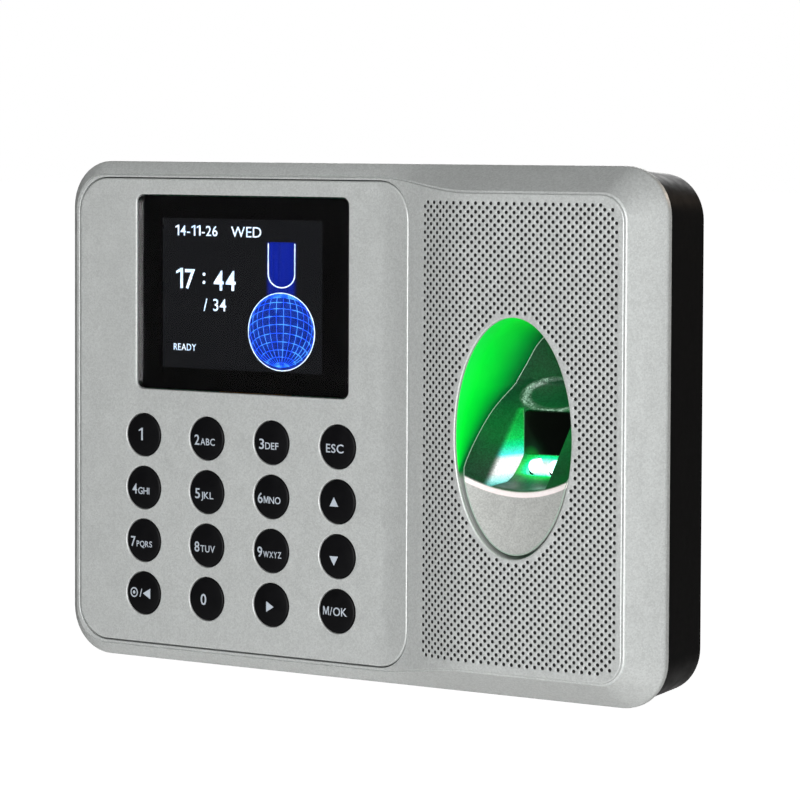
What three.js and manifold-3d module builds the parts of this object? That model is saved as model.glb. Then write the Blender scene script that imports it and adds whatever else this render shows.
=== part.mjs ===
// Fingerprint scanner terminal: a wall-mounted reader with a display and a sixteen-key keypad on the
// left, and a raised right side with an oval finger opening.
// Millimetres. X to the right seen from the front, +Y back towards the wall, +Z up. The origin is the
// centre of the wall plate's back face, so the wall is the plane Y = 0.
import * as THREE from 'three';
import { mergeVertices } from 'three/addons/utils/BufferGeometryUtils.js';
import Module from 'manifold-3d';

const wasm = await Module();
wasm.setup();

// ---- driving dimensions ----
const GAP = 0.3;                      // running gap between pieces that touch

const HALF_W = 87.0;                  // front housing, half width
const HALF_H = 61.8;                  // front housing, half height
const RIM_R = 11.5;                   // corner radius of the rim
const JOINT_Y = -18.0;                // where the front housing meets the rear shell
const RIM_Y = -19.6;                  // front edge of the rim's straight side
const LEFT_FACE_Y = -22.4;            // keypad face
const RISE = 6.0;                     // how far the finger side stands in front of the keypad face
const RISE_X0 = 8.0;                  // where the face starts to rise
const RISE_X1 = 38.0;                 // where it is flat again
const FACE_X0 = -83.8;                // left edge of the face
const FACE_X1 = 80.6;                 // right edge of the face
const FACE_Z_LEFT = 58.5;             // half height of the face, keypad side
const FACE_Z_RIGHT = 55.3;            // half height of the face, finger side
const FACE_R_LEFT = 8.6;
const FACE_R_RIGHT = 6.2;
const SKIN = 2.0;                     // wall thickness of the front housing

const PANEL = { x0: -82.8, x1: 18.6, z: 57.6, rl: 8.6, rr: 9.4, t: 1.6 };
const LEDGE_OPENING = { x0: -71.5, x1: 11.5, z0: -54, z1: 54, r: 3 };
const WINDOW = { x0: -64.4, x1: -0.15, z0: 5.85, z1: 53.4, r: 1.7, t: 1.5 };
const SCREEN = { x0: -57.8, x1: -8.2, z0: 10.8, z1: 48.3, t: 1.1 };
const LCD = { x0: -61, x1: -5, z0: 7.6, z1: 51.6, y0: -20.2, y1: -17.1 };

const KEY_X0 = -62.33;                // first key column
const KEY_Z0 = -5.9;                  // first key row
const KEY_PITCH_X = 19.8;
const KEY_PITCH_Z = 13.15;
const KEY_R = 5.25;
const KEY_FLANGE_R = 6.0;
const KEY_PROUD = 0.5;
const KEY_NAMES = [
  'key_1', 'key_2', 'key_3', 'key_esc',
  'key_4', 'key_5', 'key_6', 'key_up',
  'key_7', 'key_8', 'key_9', 'key_down',
  'key_left', 'key_0', 'key_right', 'key_menu',
];
const MAT = { x0: -69, x1: 6, z0: -52, z1: 2, y0: -18.8, y1: -17.8 };
const KEY_BOARD = { x0: -69, x1: 6, z0: -52, z1: 2, y0: -17.5, y1: -15.9 };

const OVAL = { x: 50.85, z: -0.9, a: 16.05, b: 27.8 };   // finger opening
const OVAL_SEGMENTS = 40;
const RIM_DEPTH = 1.0;                // finger guide's rim below the face
const DISH = 2.2;                     // extra depth in the middle of the finger rest
const FLOOR_DEPTH = 21.0;             // deepest part of the finger guide
const RIDGE_Z = -9.5;                 // ridge's ends, above the finger rest
const RIDGE_SAG = 4.0;                // how far the ridge dips in its middle
const GUIDE_BACK_Y = -6.6;
const LIGHT_RING_T = 1.5;
const SENSOR_POCKET_HALF = 7.35;
const SENSOR_DEPTH = 15.9;            // sensor window below the face
const LED_R = 1.7;
const LED_Z = -8.3;
const LED_OFFSET = 2.8;
const LED_DEPTH = 13.2;               // top of each lamp below the face
const LED_BACK_Y = -9.0;
const PRISM = { x0: 45.5, x1: 56.1, z0: -4.4, z1: 3.8, y0: -11.0, thick: 2, thin: 1.2 };
const SENSOR_BOARD = { x0: 41.9, x1: 59.8, z0: -9.3, z1: 4.9, y0: -8.7, y1: -7.7 };
const SPEAKER = { x: 51.3, z: 42.2, y0: -25.9, r: 10, magnetR: 6, coneR: 8.4 };

const SHELL_FRONT_Y = JOINT_Y + GAP;
const SHELL_BACK_Y = -0.4;
const SHELL_INSET_FRONT = 0.8;
const SHELL_INSET_BACK = 1.8;
const SHELL_R = 10.7;
const SHELL_CAVITY = { x: 83.0, z: 57.8, r: 8.5 };
const SHELL_FLOOR_Y0 = -5.5;          // inner face of the rear shell's floor
const SHELL_FLOOR_Y1 = -3.5;          // its back face, the bottom of the plate's recess
const CORNER_SCREW_X = 77;
const CORNER_SCREW_Z = 49;
const SCREW_R = 1.45;
const SCREW_HOLE_R = 1.75;
const BOSS_R = 3.6;
const BOSS_BACK_Y = -6.0;

const PLATE = { x: 48, z0: -45, z1: 46, t: 2, r: 4 };
const WIRE_HOLE = { x: 18, z0: 16, z1: 42, r: 2 };
const HOOK_X = 26;
const HOOK_Z = [28, -18];             // lower side of each hook's neck
const HOOK = { w: 7, neck: 2, lip: 6, y0: -8.2, y1: -6.2 };
const LIFT = 8;                       // how far the terminal lifts to come off the hooks
const LOCK_X = 24;
const LOCK_Y = -6;
const TAB = { w: 10, t: 1.5, y: -9.2 };
const LOCK_POCKET = { w: 13, z0: -57.4, z1: -36, y: -9.5, wall: 1.5 };
const LOCK_HEAD = { r: 2.7, z0: -60.75, t: 1.45, boreR: 3.1, boreTop: -59.0 };
const LOCK_TIP_Z = -41;
const WALL_HOLES = { x: 40, z: [38, -37], r: 2.3 };

const MAIN_BOARD = { x0: -72, x1: 27, z: 54, y0: -13.6, y1: -12.0 };
const BOARD_SCREWS = [[-68, 50], [6, 50], [-68, -50], [6, -50]];
const BOARD_BOSS_R = 3.0;
const BOARD_SCREW_TIP_Y = -7.2;
const CONNECTOR = { z0: 27, h: 6, y1: -6.4, pitch: 2.5, wall: 0.8, pins: 5 };
const BATTERY = { x: -50, z: 20, r: 10, t: 3.2 };
const BUZZER = { x: -52, z: -36, r: 6, t: 4.6 };
const RELAY = { x0: -52, x1: -38, z0: -20, z1: -12, t: 5.2 };
const FILM_T = 0.4;

const ARC = 6;                        // segments in a rounded corner
const ROUND = 12;                     // segments round a small cylinder
const KEY_ROUND = 16;                 // segments round a key

// ---- colours ----
function finish(color, roughness, metalness = 0) {
  return new THREE.MeshStandardMaterial({ color, roughness, metalness });
}
const SILVER = finish(0xbfc1bf, 0.42, 0.35);
const BLACK_SHELL = finish(0x151515, 0.5);
const GLOSS_BLACK = finish(0x050505, 0.08);
const KEY_BLACK = finish(0x141414, 0.45);
const LIGHT_GREEN = finish(0x16e04a, 0.3);
const LCD_GREY = finish(0x202226, 0.25);
const BOARD_GREEN = finish(0x1c5a34, 0.5);
const RUBBER_GREY = finish(0x4a4a4a, 0.9);
const STEEL = finish(0xa9abad, 0.35, 1);
const PLASTIC_WHITE = finish(0xd8d6cc, 0.5);
const FILM_AMBER = finish(0xa86a22, 0.4);

// ---- solids ----
// A closed three.js geometry as a solid that can be cut and joined.
function solid(geometry) {
  const bare = geometry.clone();
  bare.deleteAttribute('normal');
  bare.deleteAttribute('uv');
  const merged = mergeVertices(bare, 1e-5);
  const mesh = new wasm.Mesh({
    numProp: 3,
    vertProperties: new Float32Array(merged.attributes.position.array),
    triVerts: new Uint32Array(merged.index.array),
  });
  return new wasm.Manifold(mesh);
}

function geometryOf(body) {
  const mesh = body.getMesh();
  const geometry = new THREE.BufferGeometry();
  geometry.setAttribute('position', new THREE.BufferAttribute(mesh.vertProperties, 3));
  geometry.setIndex(new THREE.BufferAttribute(mesh.triVerts, 1));
  geometry.computeVertexNormals();
  return geometry;
}

function block(x0, x1, y0, y1, z0, z1) {
  const box = new THREE.BoxGeometry(x1 - x0, y1 - y0, z1 - z0);
  box.translate((x0 + x1) / 2, (y0 + y1) / 2, (z0 + z1) / 2);
  return solid(box);
}

// A cylinder along Y from y0 to y1, centred on (x, z).
function rodY(x, z, r, y0, y1, segments = ROUND) {
  const rod = new THREE.CylinderGeometry(r, r, y1 - y0, segments);
  rod.translate(x, (y0 + y1) / 2, z);
  return solid(rod);
}

// A cylinder along Z from z0 to z1, centred on (x, y).
function rodZ(x, y, r, z0, z1, segments = ROUND) {
  const rod = new THREE.CylinderGeometry(r, r, z1 - z0, segments);
  rod.rotateX(Math.PI / 2);
  rod.translate(x, y, (z0 + z1) / 2);
  return solid(rod);
}

// An outline in the XZ plane, extruded from y0 back to y1.
function prismY(shape, y0, y1, arcSegments = ARC) {
  const options = { depth: y1 - y0, bevelEnabled: false, curveSegments: arcSegments / 2 };
  const prism = new THREE.ExtrudeGeometry(shape, options);
  prism.rotateX(Math.PI / 2);
  prism.translate(0, y1, 0);
  return solid(prism);
}

// An outline in the YZ plane, extruded from x0 to x1. Points are [y, z].
function prismX(points, x0, x1) {
  const shape = new THREE.Shape(points.map(([y, z]) => new THREE.Vector2(y, z)));
  const prism = new THREE.ExtrudeGeometry(shape, { depth: x1 - x0, bevelEnabled: false });
  const turn = new THREE.Matrix4().makeBasis(
    new THREE.Vector3(0, 1, 0),
    new THREE.Vector3(0, 0, 1),
    new THREE.Vector3(1, 0, 0),
  );
  prism.applyMatrix4(turn);
  prism.translate(x0, 0, 0);
  return solid(prism);
}

// An outline in the XY plane, extruded from z0 to z1. Points are [x, y].
function prismZ(points, z0, z1) {
  const shape = new THREE.Shape(points.map(([x, y]) => new THREE.Vector2(x, y)));
  const prism = new THREE.ExtrudeGeometry(shape, { depth: z1 - z0, bevelEnabled: false });
  prism.translate(0, 0, z0);
  return solid(prism);
}

function roundedRect({ x0, x1, z0, z1, r }, grow = 0) {
  const [left, right, low, high] = [x0 - grow, x1 + grow, z0 - grow, z1 + grow];
  const radius = r + grow;
  const shape = new THREE.Shape();
  shape.moveTo(left + radius, low);
  shape.lineTo(right - radius, low);
  shape.absarc(right - radius, low + radius, radius, -Math.PI / 2, 0);
  shape.lineTo(right, high - radius);
  shape.absarc(right - radius, high - radius, radius, 0, Math.PI / 2);
  shape.lineTo(left + radius, high);
  shape.absarc(left + radius, high - radius, radius, Math.PI / 2, Math.PI);
  shape.lineTo(left, low + radius);
  shape.absarc(left + radius, low + radius, radius, Math.PI, Math.PI * 1.5);
  return shape;
}

function ovalShape(grow = 0) {
  const shape = new THREE.Shape();
  shape.absellipse(OVAL.x, OVAL.z, OVAL.a + grow, OVAL.b + grow, 0, Math.PI * 2);
  return shape;
}

// ---- the face, which rises from the keypad side to the finger side ----
function riseAt(x) {
  return THREE.MathUtils.smoothstep(x, RISE_X0, RISE_X1);
}

function faceY(x) {
  return LEFT_FACE_Y - RISE * riseAt(x);
}

function faceZ(x) {
  return THREE.MathUtils.lerp(FACE_Z_LEFT, FACE_Z_RIGHT, riseAt(x));
}

const RISE_STEPS = 8;
const RISE_XS = [];
for (let i = 0; i <= RISE_STEPS; i += 1) {
  RISE_XS.push(THREE.MathUtils.lerp(RISE_X0, RISE_X1, i / RISE_STEPS));
}

// The upper half of an outline that is the same above and below Z = 0, from left to right:
// an arc, the points over xs at height zAt(x), and an arc. Points are [x, z].
function halfOutline(xl, xr, zAt, rl, rr, xs) {
  const points = [];
  for (let i = 0; i <= ARC; i += 1) {
    const a = Math.PI - (Math.PI / 2) * (i / ARC);
    points.push([xl + rl + rl * Math.cos(a), zAt(xl + rl) - rl + rl * Math.sin(a)]);
  }
  for (const x of xs) {
    points.push([x, zAt(x)]);
  }
  for (let i = 0; i <= ARC; i += 1) {
    const a = Math.PI / 2 - (Math.PI / 2) * (i / ARC);
    points.push([xr - rr + rr * Math.cos(a), zAt(xr - rr) - rr + rr * Math.sin(a)]);
  }
  return points;
}

// A solid lofted through rings from back to front. Each ring is {half, yAt}: half as above, with as
// many points in every ring, and yAt(x) the ring's Y at each point.
function loft(rings) {
  const count = rings[0].half.length;
  const around = count * 2;
  const positions = [];
  for (const { half, yAt } of rings) {
    for (const [x, z] of half) {
      positions.push(x, yAt(x), z);
    }
    for (const [x, z] of [...half].reverse()) {
      positions.push(x, yAt(x), -z);
    }
  }
  const faces = [];
  for (let ring = 0; ring < rings.length - 1; ring += 1) {
    for (let i = 0; i < around; i += 1) {
      const a = ring * around + i;
      const b = ring * around + ((i + 1) % around);
      faces.push(a, b + around, b, a, a + around, b + around);
    }
  }
  const last = (rings.length - 1) * around;
  for (let i = 0; i < count - 1; i += 1) {
    const j = around - 1 - i;
    faces.push(i, j - 1, j, i, i + 1, j - 1);
    faces.push(last + i, last + j - 1, last + i + 1, last + i, last + j, last + j - 1);
  }
  const geometry = new THREE.BufferGeometry();
  geometry.setAttribute('position', new THREE.Float32BufferAttribute(positions, 3));
  geometry.setIndex(faces);
  return solid(geometry);
}

function flatRing(x, z, r, y) {
  return { half: halfOutline(-x, x, () => z, r, r, []), yAt: () => y };
}

// ---- front housing and keypad panel ----
function bezelBody() {
  const rim = halfOutline(-HALF_W, HALF_W, () => HALF_H, RIM_R, RIM_R, RISE_XS);
  const face = halfOutline(FACE_X0, FACE_X1, faceZ, FACE_R_LEFT, FACE_R_RIGHT, RISE_XS);
  return loft([
    { half: rim, yAt: () => JOINT_Y },
    { half: rim, yAt: () => RIM_Y },
    { half: face, yAt: faceY },
  ]);
}

// The hollow behind the raised side, from the joint up to the skin.
function bezelHollow() {
  const left = PANEL.x1 + 2.4;
  const xs = RISE_XS.filter((x) => x > left + 3);
  const low = halfOutline(left, HALF_W - 3.5, () => HALF_H - 3.3, 2, RIM_R - 3, xs);
  const high = halfOutline(left, FACE_X1 - 3, (x) => faceZ(x) - 2.8, 2, FACE_R_RIGHT - 2, xs);
  return loft([
    { half: low, yAt: () => JOINT_Y + 1 },
    { half: low, yAt: () => RIM_Y },
    { half: high, yAt: (x) => faceY(x) + SKIN },
  ]);
}

function panelOutline(grow) {
  const xs = RISE_XS.filter((x) => x < PANEL.x1 - PANEL.rr);
  const { x0, x1, z, rl, rr } = PANEL;
  return halfOutline(x0 - grow, x1 + grow, () => z + grow, rl + grow, rr + grow, xs);
}

function keyPlaces() {
  return KEY_NAMES.map((name, i) => ({
    name,
    x: KEY_X0 + KEY_PITCH_X * (i % 4),
    z: KEY_Z0 - KEY_PITCH_Z * Math.floor(i / 4),
  }));
}

function screwCorners() {
  const corners = [];
  for (const z of [CORNER_SCREW_Z, -CORNER_SCREW_Z]) {
    for (const x of [-CORNER_SCREW_X, CORNER_SCREW_X]) {
      corners.push([x, z]);
    }
  }
  return corners;
}

function frontBezel() {
  const pocket = panelOutline(GAP);
  let body = bezelBody().subtract(bezelHollow());
  body = body.subtract(loft([
    { half: pocket, yAt: (x) => faceY(x) + PANEL.t + GAP },
    { half: pocket, yAt: (x) => faceY(x) - 4 },
  ]));
  body = body.subtract(prismY(roundedRect(LEDGE_OPENING), -40, 0));
  for (const [x, z] of screwCorners()) {
    const top = x < 0 ? JOINT_Y - 0.6 : faceY(x) + SKIN - 0.6;
    body = body.add(rodY(x, z, BOSS_R, top, BOSS_BACK_Y));
    body = body.subtract(rodY(x, z, SCREW_HOLE_R, JOINT_Y, BOSS_BACK_Y + 1));
  }
  return body.subtract(prismY(ovalShape(), -40, 0, OVAL_SEGMENTS));
}

function keypadPanel() {
  const outline = panelOutline(0);
  let body = loft([
    { half: outline, yAt: (x) => faceY(x) + PANEL.t },
    { half: outline, yAt: faceY },
  ]);
  body = body.subtract(prismY(roundedRect(WINDOW, GAP), -40, 0));
  for (const { x, z } of keyPlaces()) {
    body = body.subtract(rodY(x, z, KEY_R + GAP, -40, 0, KEY_ROUND));
  }
  return body;
}

// ---- display ----
function displayWindow() {
  const front = LEFT_FACE_Y + 0.1;
  return prismY(roundedRect(WINDOW), front, front + WINDOW.t);
}

function lcdScreen() {
  const { x0, x1, z0, z1, t } = SCREEN;
  return block(x0, x1, LCD.y0 + 0.1, LCD.y0 + 0.1 + t, z0, z1);
}

function lcdFrame() {
  const { x0, x1, z0, z1, y0, y1 } = LCD;
  const well = SCREEN.t + 0.1 + GAP;
  const frame = block(x0, x1, y0, y1, z0, z1);
  const inside = block(SCREEN.x0 - GAP, SCREEN.x1 + GAP, y0 - 1, y0 + well, SCREEN.z0 - GAP, SCREEN.z1 + GAP);
  return frame.subtract(inside);
}

// A dust seal of foam between the window and the screen's frame.
function displaySeal() {
  const y0 = LEFT_FACE_Y + 0.1 + WINDOW.t + 0.15;
  const outer = block(LCD.x0, LCD.x1, y0, y0 + 0.3, LCD.z0, LCD.z1);
  const inner = block(LCD.x0 + 2, LCD.x1 - 2, y0 - 1, y0 + 1, LCD.z0 + 2, LCD.z1 - 2);
  return outer.subtract(inner);
}

// ---- keys ----
// A key with a low domed top and a flange that is held behind the panel.
function keyGeometry() {
  const top = LEFT_FACE_Y - KEY_PROUD;
  const flangeFront = LEFT_FACE_Y + PANEL.t + GAP;
  const back = flangeFront + 0.6;
  const profile = [
    [0, top], [KEY_R * 0.55, top + 0.12], [KEY_R - 0.45, top + 0.38], [KEY_R, top + 0.8],
    [KEY_R, flangeFront], [KEY_FLANGE_R, flangeFront], [KEY_FLANGE_R, back], [0, back],
  ];
  const points = profile.map(([r, y]) => new THREE.Vector2(r, y));
  return geometryOf(solid(new THREE.LatheGeometry(points, KEY_ROUND)));
}

function plateOf({ x0, x1, z0, z1, y0, y1 }) {
  return block(x0, x1, y0, y1, z0, z1);
}

// ---- finger guide ----
// Depth below the finger side's face of the guide's surface at (x, z): a shallow dish that the finger
// rests in, up to a dipping ridge, and above it a ramp down to a deep floor.
function guideDepth(x, z) {
  const u = (x - OVAL.x) / (OVAL.a - GAP);
  const w = (z - OVAL.z) / (OVAL.b - GAP);
  const ridge = RIDGE_Z - RIDGE_SAG * (1 - Math.min(1, u * u));
  const wRidge = (Math.min(z, ridge) - OVAL.z) / (OVAL.b - GAP);
  const dish = RIM_DEPTH + DISH * Math.max(0, 1 - u * u - wRidge * wRidge);
  if (z <= ridge) {
    return Math.max(RIM_DEPTH, RIM_DEPTH + DISH * (1 - u * u - w * w));
  }
  const side = THREE.MathUtils.smoothstep(Math.abs(u), 0.47, 1);
  const slope = THREE.MathUtils.lerp(0.77, 1.0, side);
  return Math.min(FLOOR_DEPTH, dish + slope * (z - ridge));
}

// The guide before its pockets are cut: an oval plug whose front follows guideDepth.
function guideBlank() {
  const faceFront = LEFT_FACE_Y - RISE;
  const a = OVAL.a - GAP;
  const b = OVAL.b - GAP;
  const levels = 9;
  const positions = [OVAL.x, faceFront + guideDepth(OVAL.x, OVAL.z), OVAL.z];
  for (let level = 1; level <= levels; level += 1) {
    for (let i = 0; i < OVAL_SEGMENTS; i += 1) {
      const angle = (i / OVAL_SEGMENTS) * Math.PI * 2;
      const x = OVAL.x + a * (level / levels) * Math.cos(angle);
      const z = OVAL.z + b * (level / levels) * Math.sin(angle);
      positions.push(x, faceFront + guideDepth(x, z), z);
    }
  }
  const rim = 1 + (levels - 1) * OVAL_SEGMENTS;
  const backRim = rim + OVAL_SEGMENTS;
  for (let i = 0; i < OVAL_SEGMENTS; i += 1) {
    positions.push(positions[3 * (rim + i)], GUIDE_BACK_Y, positions[3 * (rim + i) + 2]);
  }
  positions.push(OVAL.x, GUIDE_BACK_Y, OVAL.z);
  const backCentre = backRim + OVAL_SEGMENTS;
  const faces = [];
  for (let i = 0; i < OVAL_SEGMENTS; i += 1) {
    const j = (i + 1) % OVAL_SEGMENTS;
    faces.push(0, 1 + i, 1 + j);
    for (let level = 0; level < levels; level += 1) {
      const p = 1 + level * OVAL_SEGMENTS;
      const q = p + OVAL_SEGMENTS;
      faces.push(p + i, q + i, q + j, p + i, q + j, p + j);
    }
    faces.push(backRim + i, backCentre, backRim + j);
  }
  const geometry = new THREE.BufferGeometry();
  geometry.setAttribute('position', new THREE.Float32BufferAttribute(positions, 3));
  geometry.setIndex(faces);
  return solid(geometry);
}

// The pocket's side outline as [depth, z], from the ridge down its floor and up the sensor window.
const POCKET_PROFILE = [
  [2.0, -13.4], [5.0, -12.9], [8.5, -12.0], [11.5, -10.5], [14.2, -8.0], [SENSOR_DEPTH, -5.9],
  [SENSOR_DEPTH, 4.9], [14.9, 5.1], [-5, 5.1], [-5, -13.4],
];
const SENSOR = { x0: 44.1, x1: 57.6, z0: -5.6, z1: 4.4, t: 1.4 };

function fingerGuide() {
  const faceFront = LEFT_FACE_Y - RISE;
  const sensorY = faceFront + SENSOR_DEPTH;
  const pocketX0 = OVAL.x - SENSOR_POCKET_HALF;
  const pocketX1 = OVAL.x + SENSOR_POCKET_HALF;
  const pocket = POCKET_PROFILE.map(([depth, z]) => [faceFront + depth, z]);
  let body = guideBlank().subtract(prismX(pocket, pocketX0, pocketX1));
  const { x0, x1, z0, z1 } = SENSOR;
  body = body.subtract(block(x0 - GAP, x1 + GAP, sensorY - 1, 0, z0 - GAP, z1 + GAP));
  body = body.subtract(block(pocketX0 - 2, pocketX1 + 2, sensorY + 1.5, 0, -9.6, 5.2));
  for (const x of [OVAL.x - LED_OFFSET, OVAL.x + LED_OFFSET]) {
    body = body.subtract(rodY(x, LED_Z, LED_R + GAP, sensorY - 5, 0));
  }
  const behindRest = prismY(ovalShape(-GAP - 2), faceFront + 5.5, 0, OVAL_SEGMENTS);
  return body.subtract(behindRest.intersect(block(0, 100, -40, 0, -40, -14.9)));
}

function lightGuide() {
  const y0 = LEFT_FACE_Y - RISE + SKIN + 2 * GAP;
  const y1 = GUIDE_BACK_Y - GAP;
  const outer = prismY(ovalShape(LIGHT_RING_T), y0, y1, OVAL_SEGMENTS);
  return outer.subtract(prismY(ovalShape(), y0 - 1, y1 + 1, OVAL_SEGMENTS));
}

function sensorWindow() {
  const y0 = LEFT_FACE_Y - RISE + SENSOR_DEPTH - 0.2;
  return block(SENSOR.x0, SENSOR.x1, y0, y0 + SENSOR.t, SENSOR.z0, SENSOR.z1);
}

// A wedge that folds the light path behind the window.
function sensorPrism() {
  const { x0, x1, z0, z1, y0, thick, thin } = PRISM;
  return prismX([[y0, z0], [y0 + thick, z0], [y0 + thin, z1], [y0, z1]], x0, x1);
}

function sensorLed(x) {
  const front = LEFT_FACE_Y - RISE + LED_DEPTH;
  const points = [
    [0, front], [LED_R * 0.7, front + 0.25], [LED_R, front + 0.9], [LED_R, LED_BACK_Y], [0, LED_BACK_Y],
  ];
  const lens = new THREE.LatheGeometry(points.map(([r, y]) => new THREE.Vector2(r, y)), ROUND);
  lens.translate(x, 0, LED_Z);
  return solid(lens);
}

// ---- rear shell ----
function rearShell() {
  let body = loft([
    flatRing(HALF_W - SHELL_INSET_BACK, HALF_H - SHELL_INSET_BACK, SHELL_R, SHELL_BACK_Y),
    flatRing(HALF_W - SHELL_INSET_FRONT, HALF_H - SHELL_INSET_FRONT, SHELL_R, SHELL_FRONT_Y),
  ]);
  const { x, z, r } = SHELL_CAVITY;
  const inside = { x0: -x, x1: x, z0: -z, z1: z, r };
  body = body.subtract(prismY(roundedRect(inside), -40, SHELL_FLOOR_Y0));
  body = body.subtract(prismY(roundedRect(inside, -0.4), SHELL_FLOOR_Y1, 10));
  for (const side of [-LOCK_X, LOCK_X]) {
    const { w, z0, z1, y, wall } = LOCK_POCKET;
    const half = w / 2;
    const [left, right] = [side - half - wall, side + half + wall];
    body = body.add(block(left, right, y - wall, SHELL_FLOOR_Y0 + 0.5, z0 - 0.6, z1 + wall));
    body = body.subtract(block(side - half, side + half, y, 10, z0, z1));
    body = body.subtract(rodZ(side, LOCK_Y, SCREW_HOLE_R, -70, z0 + 1));
    body = body.subtract(rodZ(side, LOCK_Y, LOCK_HEAD.boreR, -70, LOCK_HEAD.boreTop));
  }
  for (const hookX of [-HOOK_X, HOOK_X]) {
    for (const hookZ of HOOK_Z) {
      const half = HOOK.w / 2 + 0.4;
      const low = hookZ - LIFT - 0.5;
      body = body.subtract(block(hookX - half, hookX + half, -9, 10, low, hookZ + HOOK.neck + GAP));
    }
  }
  body = body.subtract(block(-WIRE_HOLE.x + 1, WIRE_HOLE.x - 1, -9, 10, WIRE_HOLE.z0 - 2, WIRE_HOLE.z1 - 2));
  for (const [sx, sz] of screwCorners()) {
    body = body.subtract(rodY(sx, sz, SCREW_HOLE_R, -9, 10));
  }
  for (const [sx, sz] of BOARD_SCREWS) {
    body = body.add(rodY(sx, sz, BOARD_BOSS_R, MAIN_BOARD.y1 + GAP, SHELL_FLOOR_Y0 + 0.5));
    body = body.subtract(rodY(sx, sz, SCREW_HOLE_R - 0.25, -20, SHELL_FLOOR_Y0 - 0.5));
  }
  return body;
}

// ---- wall plate ----
function wallPlate() {
  const outline = { x0: -PLATE.x, x1: PLATE.x, z0: PLATE.z0, z1: PLATE.z1, r: PLATE.r };
  const wires = { x0: -WIRE_HOLE.x, x1: WIRE_HOLE.x, z0: WIRE_HOLE.z0, z1: WIRE_HOLE.z1, r: WIRE_HOLE.r };
  let body = prismY(roundedRect(outline), -PLATE.t, 0);
  body = body.subtract(prismY(roundedRect(wires), -10, 10));
  for (const x of [-WALL_HOLES.x, WALL_HOLES.x]) {
    for (const z of WALL_HOLES.z) {
      body = body.subtract(rodY(x, z, WALL_HOLES.r, -10, 10));
    }
  }
  for (const hookX of [-HOOK_X, HOOK_X]) {
    for (const z of HOOK_Z) {
      const [x0, x1] = [hookX - HOOK.w / 2, hookX + HOOK.w / 2];
      body = body.add(block(x0, x1, HOOK.y0, -PLATE.t / 2, z, z + HOOK.neck));
      body = body.add(block(x0, x1, HOOK.y0, HOOK.y1, z, z + HOOK.lip));
    }
  }
  for (const side of [-LOCK_X, LOCK_X]) {
    const [x0, x1] = [side - TAB.w / 2, side + TAB.w / 2];
    body = body.add(block(x0, x1, TAB.y, -PLATE.t / 2, PLATE.z0, PLATE.z0 + TAB.t));
    body = body.subtract(rodZ(side, LOCK_Y, SCREW_HOLE_R + 0.1, PLATE.z0 - 5, PLATE.z0 + 5));
  }
  return body;
}

// ---- boards, parts on them and cables ----
function mainBoard() {
  const { x0, x1, z, y0, y1 } = MAIN_BOARD;
  let body = block(x0, x1, y0, y1, -z, z);
  for (const [sx, sz] of BOARD_SCREWS) {
    body = body.subtract(rodY(sx, sz, SCREW_HOLE_R - 0.25, -20, 0));
  }
  return body;
}

// A white wire socket with a row of openings towards the back.
function wiringConnector(x0) {
  const { z0, h, y1, pitch, wall, pins } = CONNECTOR;
  const x1 = x0 + pins * pitch + 2;
  const shell = block(x0, x1, MAIN_BOARD.y1 + GAP, y1, z0, z0 + h);
  return shell.subtract(block(x0 + wall, x1 - wall, y1 - 4, y1 + 1, z0 + wall, z0 + h - wall));
}

function speaker() {
  const { x, z, y0, r, magnetR, coneR } = SPEAKER;
  const rim = rodY(x, z, r, y0, y0 + 2, 24);
  const magnet = rodY(x, z, magnetR, y0 + 1.5, y0 + 5, 24);
  return rim.add(magnet).subtract(rodY(x, z, coneR, y0 - 1, y0 + 0.8, 24));
}

function backupBattery() {
  const y0 = MAIN_BOARD.y1 + GAP;
  return rodY(BATTERY.x, BATTERY.z, BATTERY.r, y0, y0 + BATTERY.t, 24);
}

function buzzer() {
  const { x, z, r, t } = BUZZER;
  const y0 = MAIN_BOARD.y1 + GAP;
  return rodY(x, z, r, y0, y0 + t, 24).subtract(rodY(x, z, 1, y0 + t - 1, y0 + t + 1, 12));
}

function lockRelay() {
  const y0 = MAIN_BOARD.y1 + GAP;
  return block(RELAY.x0, RELAY.x1, y0, y0 + RELAY.t, RELAY.z0, RELAY.z1);
}

// Flat film cables: one from the screen, one from the keypad, one from the sensor.
function lcdCable() {
  const points = [
    [LCD.y1 + GAP, 12], [LCD.y1 + GAP, 4.8], [MAIN_BOARD.y0 - GAP, 4.8], [MAIN_BOARD.y0 - GAP, 5.2],
    [LCD.y1 + GAP + FILM_T, 5.2], [LCD.y1 + GAP + FILM_T, 12],
  ];
  return prismX(points, -43, -23);
}

function keypadCable() {
  const back = KEY_BOARD.y1 + GAP;
  const front = MAIN_BOARD.y0 - GAP;
  const points = [
    [back, -48], [front, -44], [front, -38], [front - FILM_T, -38], [front - FILM_T, -43.8], [back, -47.4],
  ];
  return prismX(points, -20, -6);
}

function sensorCable() {
  const board = MAIN_BOARD.y1 + GAP;
  const low = GUIDE_BACK_Y + GAP;
  const end = SENSOR_BOARD.y1 + GAP;
  const x1 = MAIN_BOARD.x1;
  const points = [
    [x1 - 5, board], [x1 + 1, board], [x1 + 5, low], [43, low], [45, end], [49, end],
    [49, end + FILM_T], [45.2, end + FILM_T], [43.2, low + FILM_T], [x1 + 4.7, low + FILM_T],
    [x1 + 0.7, board + FILM_T], [x1 - 5, board + FILM_T],
  ];
  return prismZ(points, -4, 4);
}

// ---- screws ----
// A cross-recessed screw along Y with its head at the back.
function screwY(x, z, headBack, tipFront, r, headR) {
  const headFront = headBack - 1.6;
  let body = rodY(x, z, headR, headFront, headBack).add(rodY(x, z, r, tipFront, headFront + 0.5));
  body = body.subtract(block(x - 1.4, x + 1.4, headBack - 0.7, headBack + 1, z - 0.35, z + 0.35));
  return body.subtract(block(x - 0.35, x + 0.35, headBack - 0.7, headBack + 1, z - 1.4, z + 1.4));
}

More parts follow.
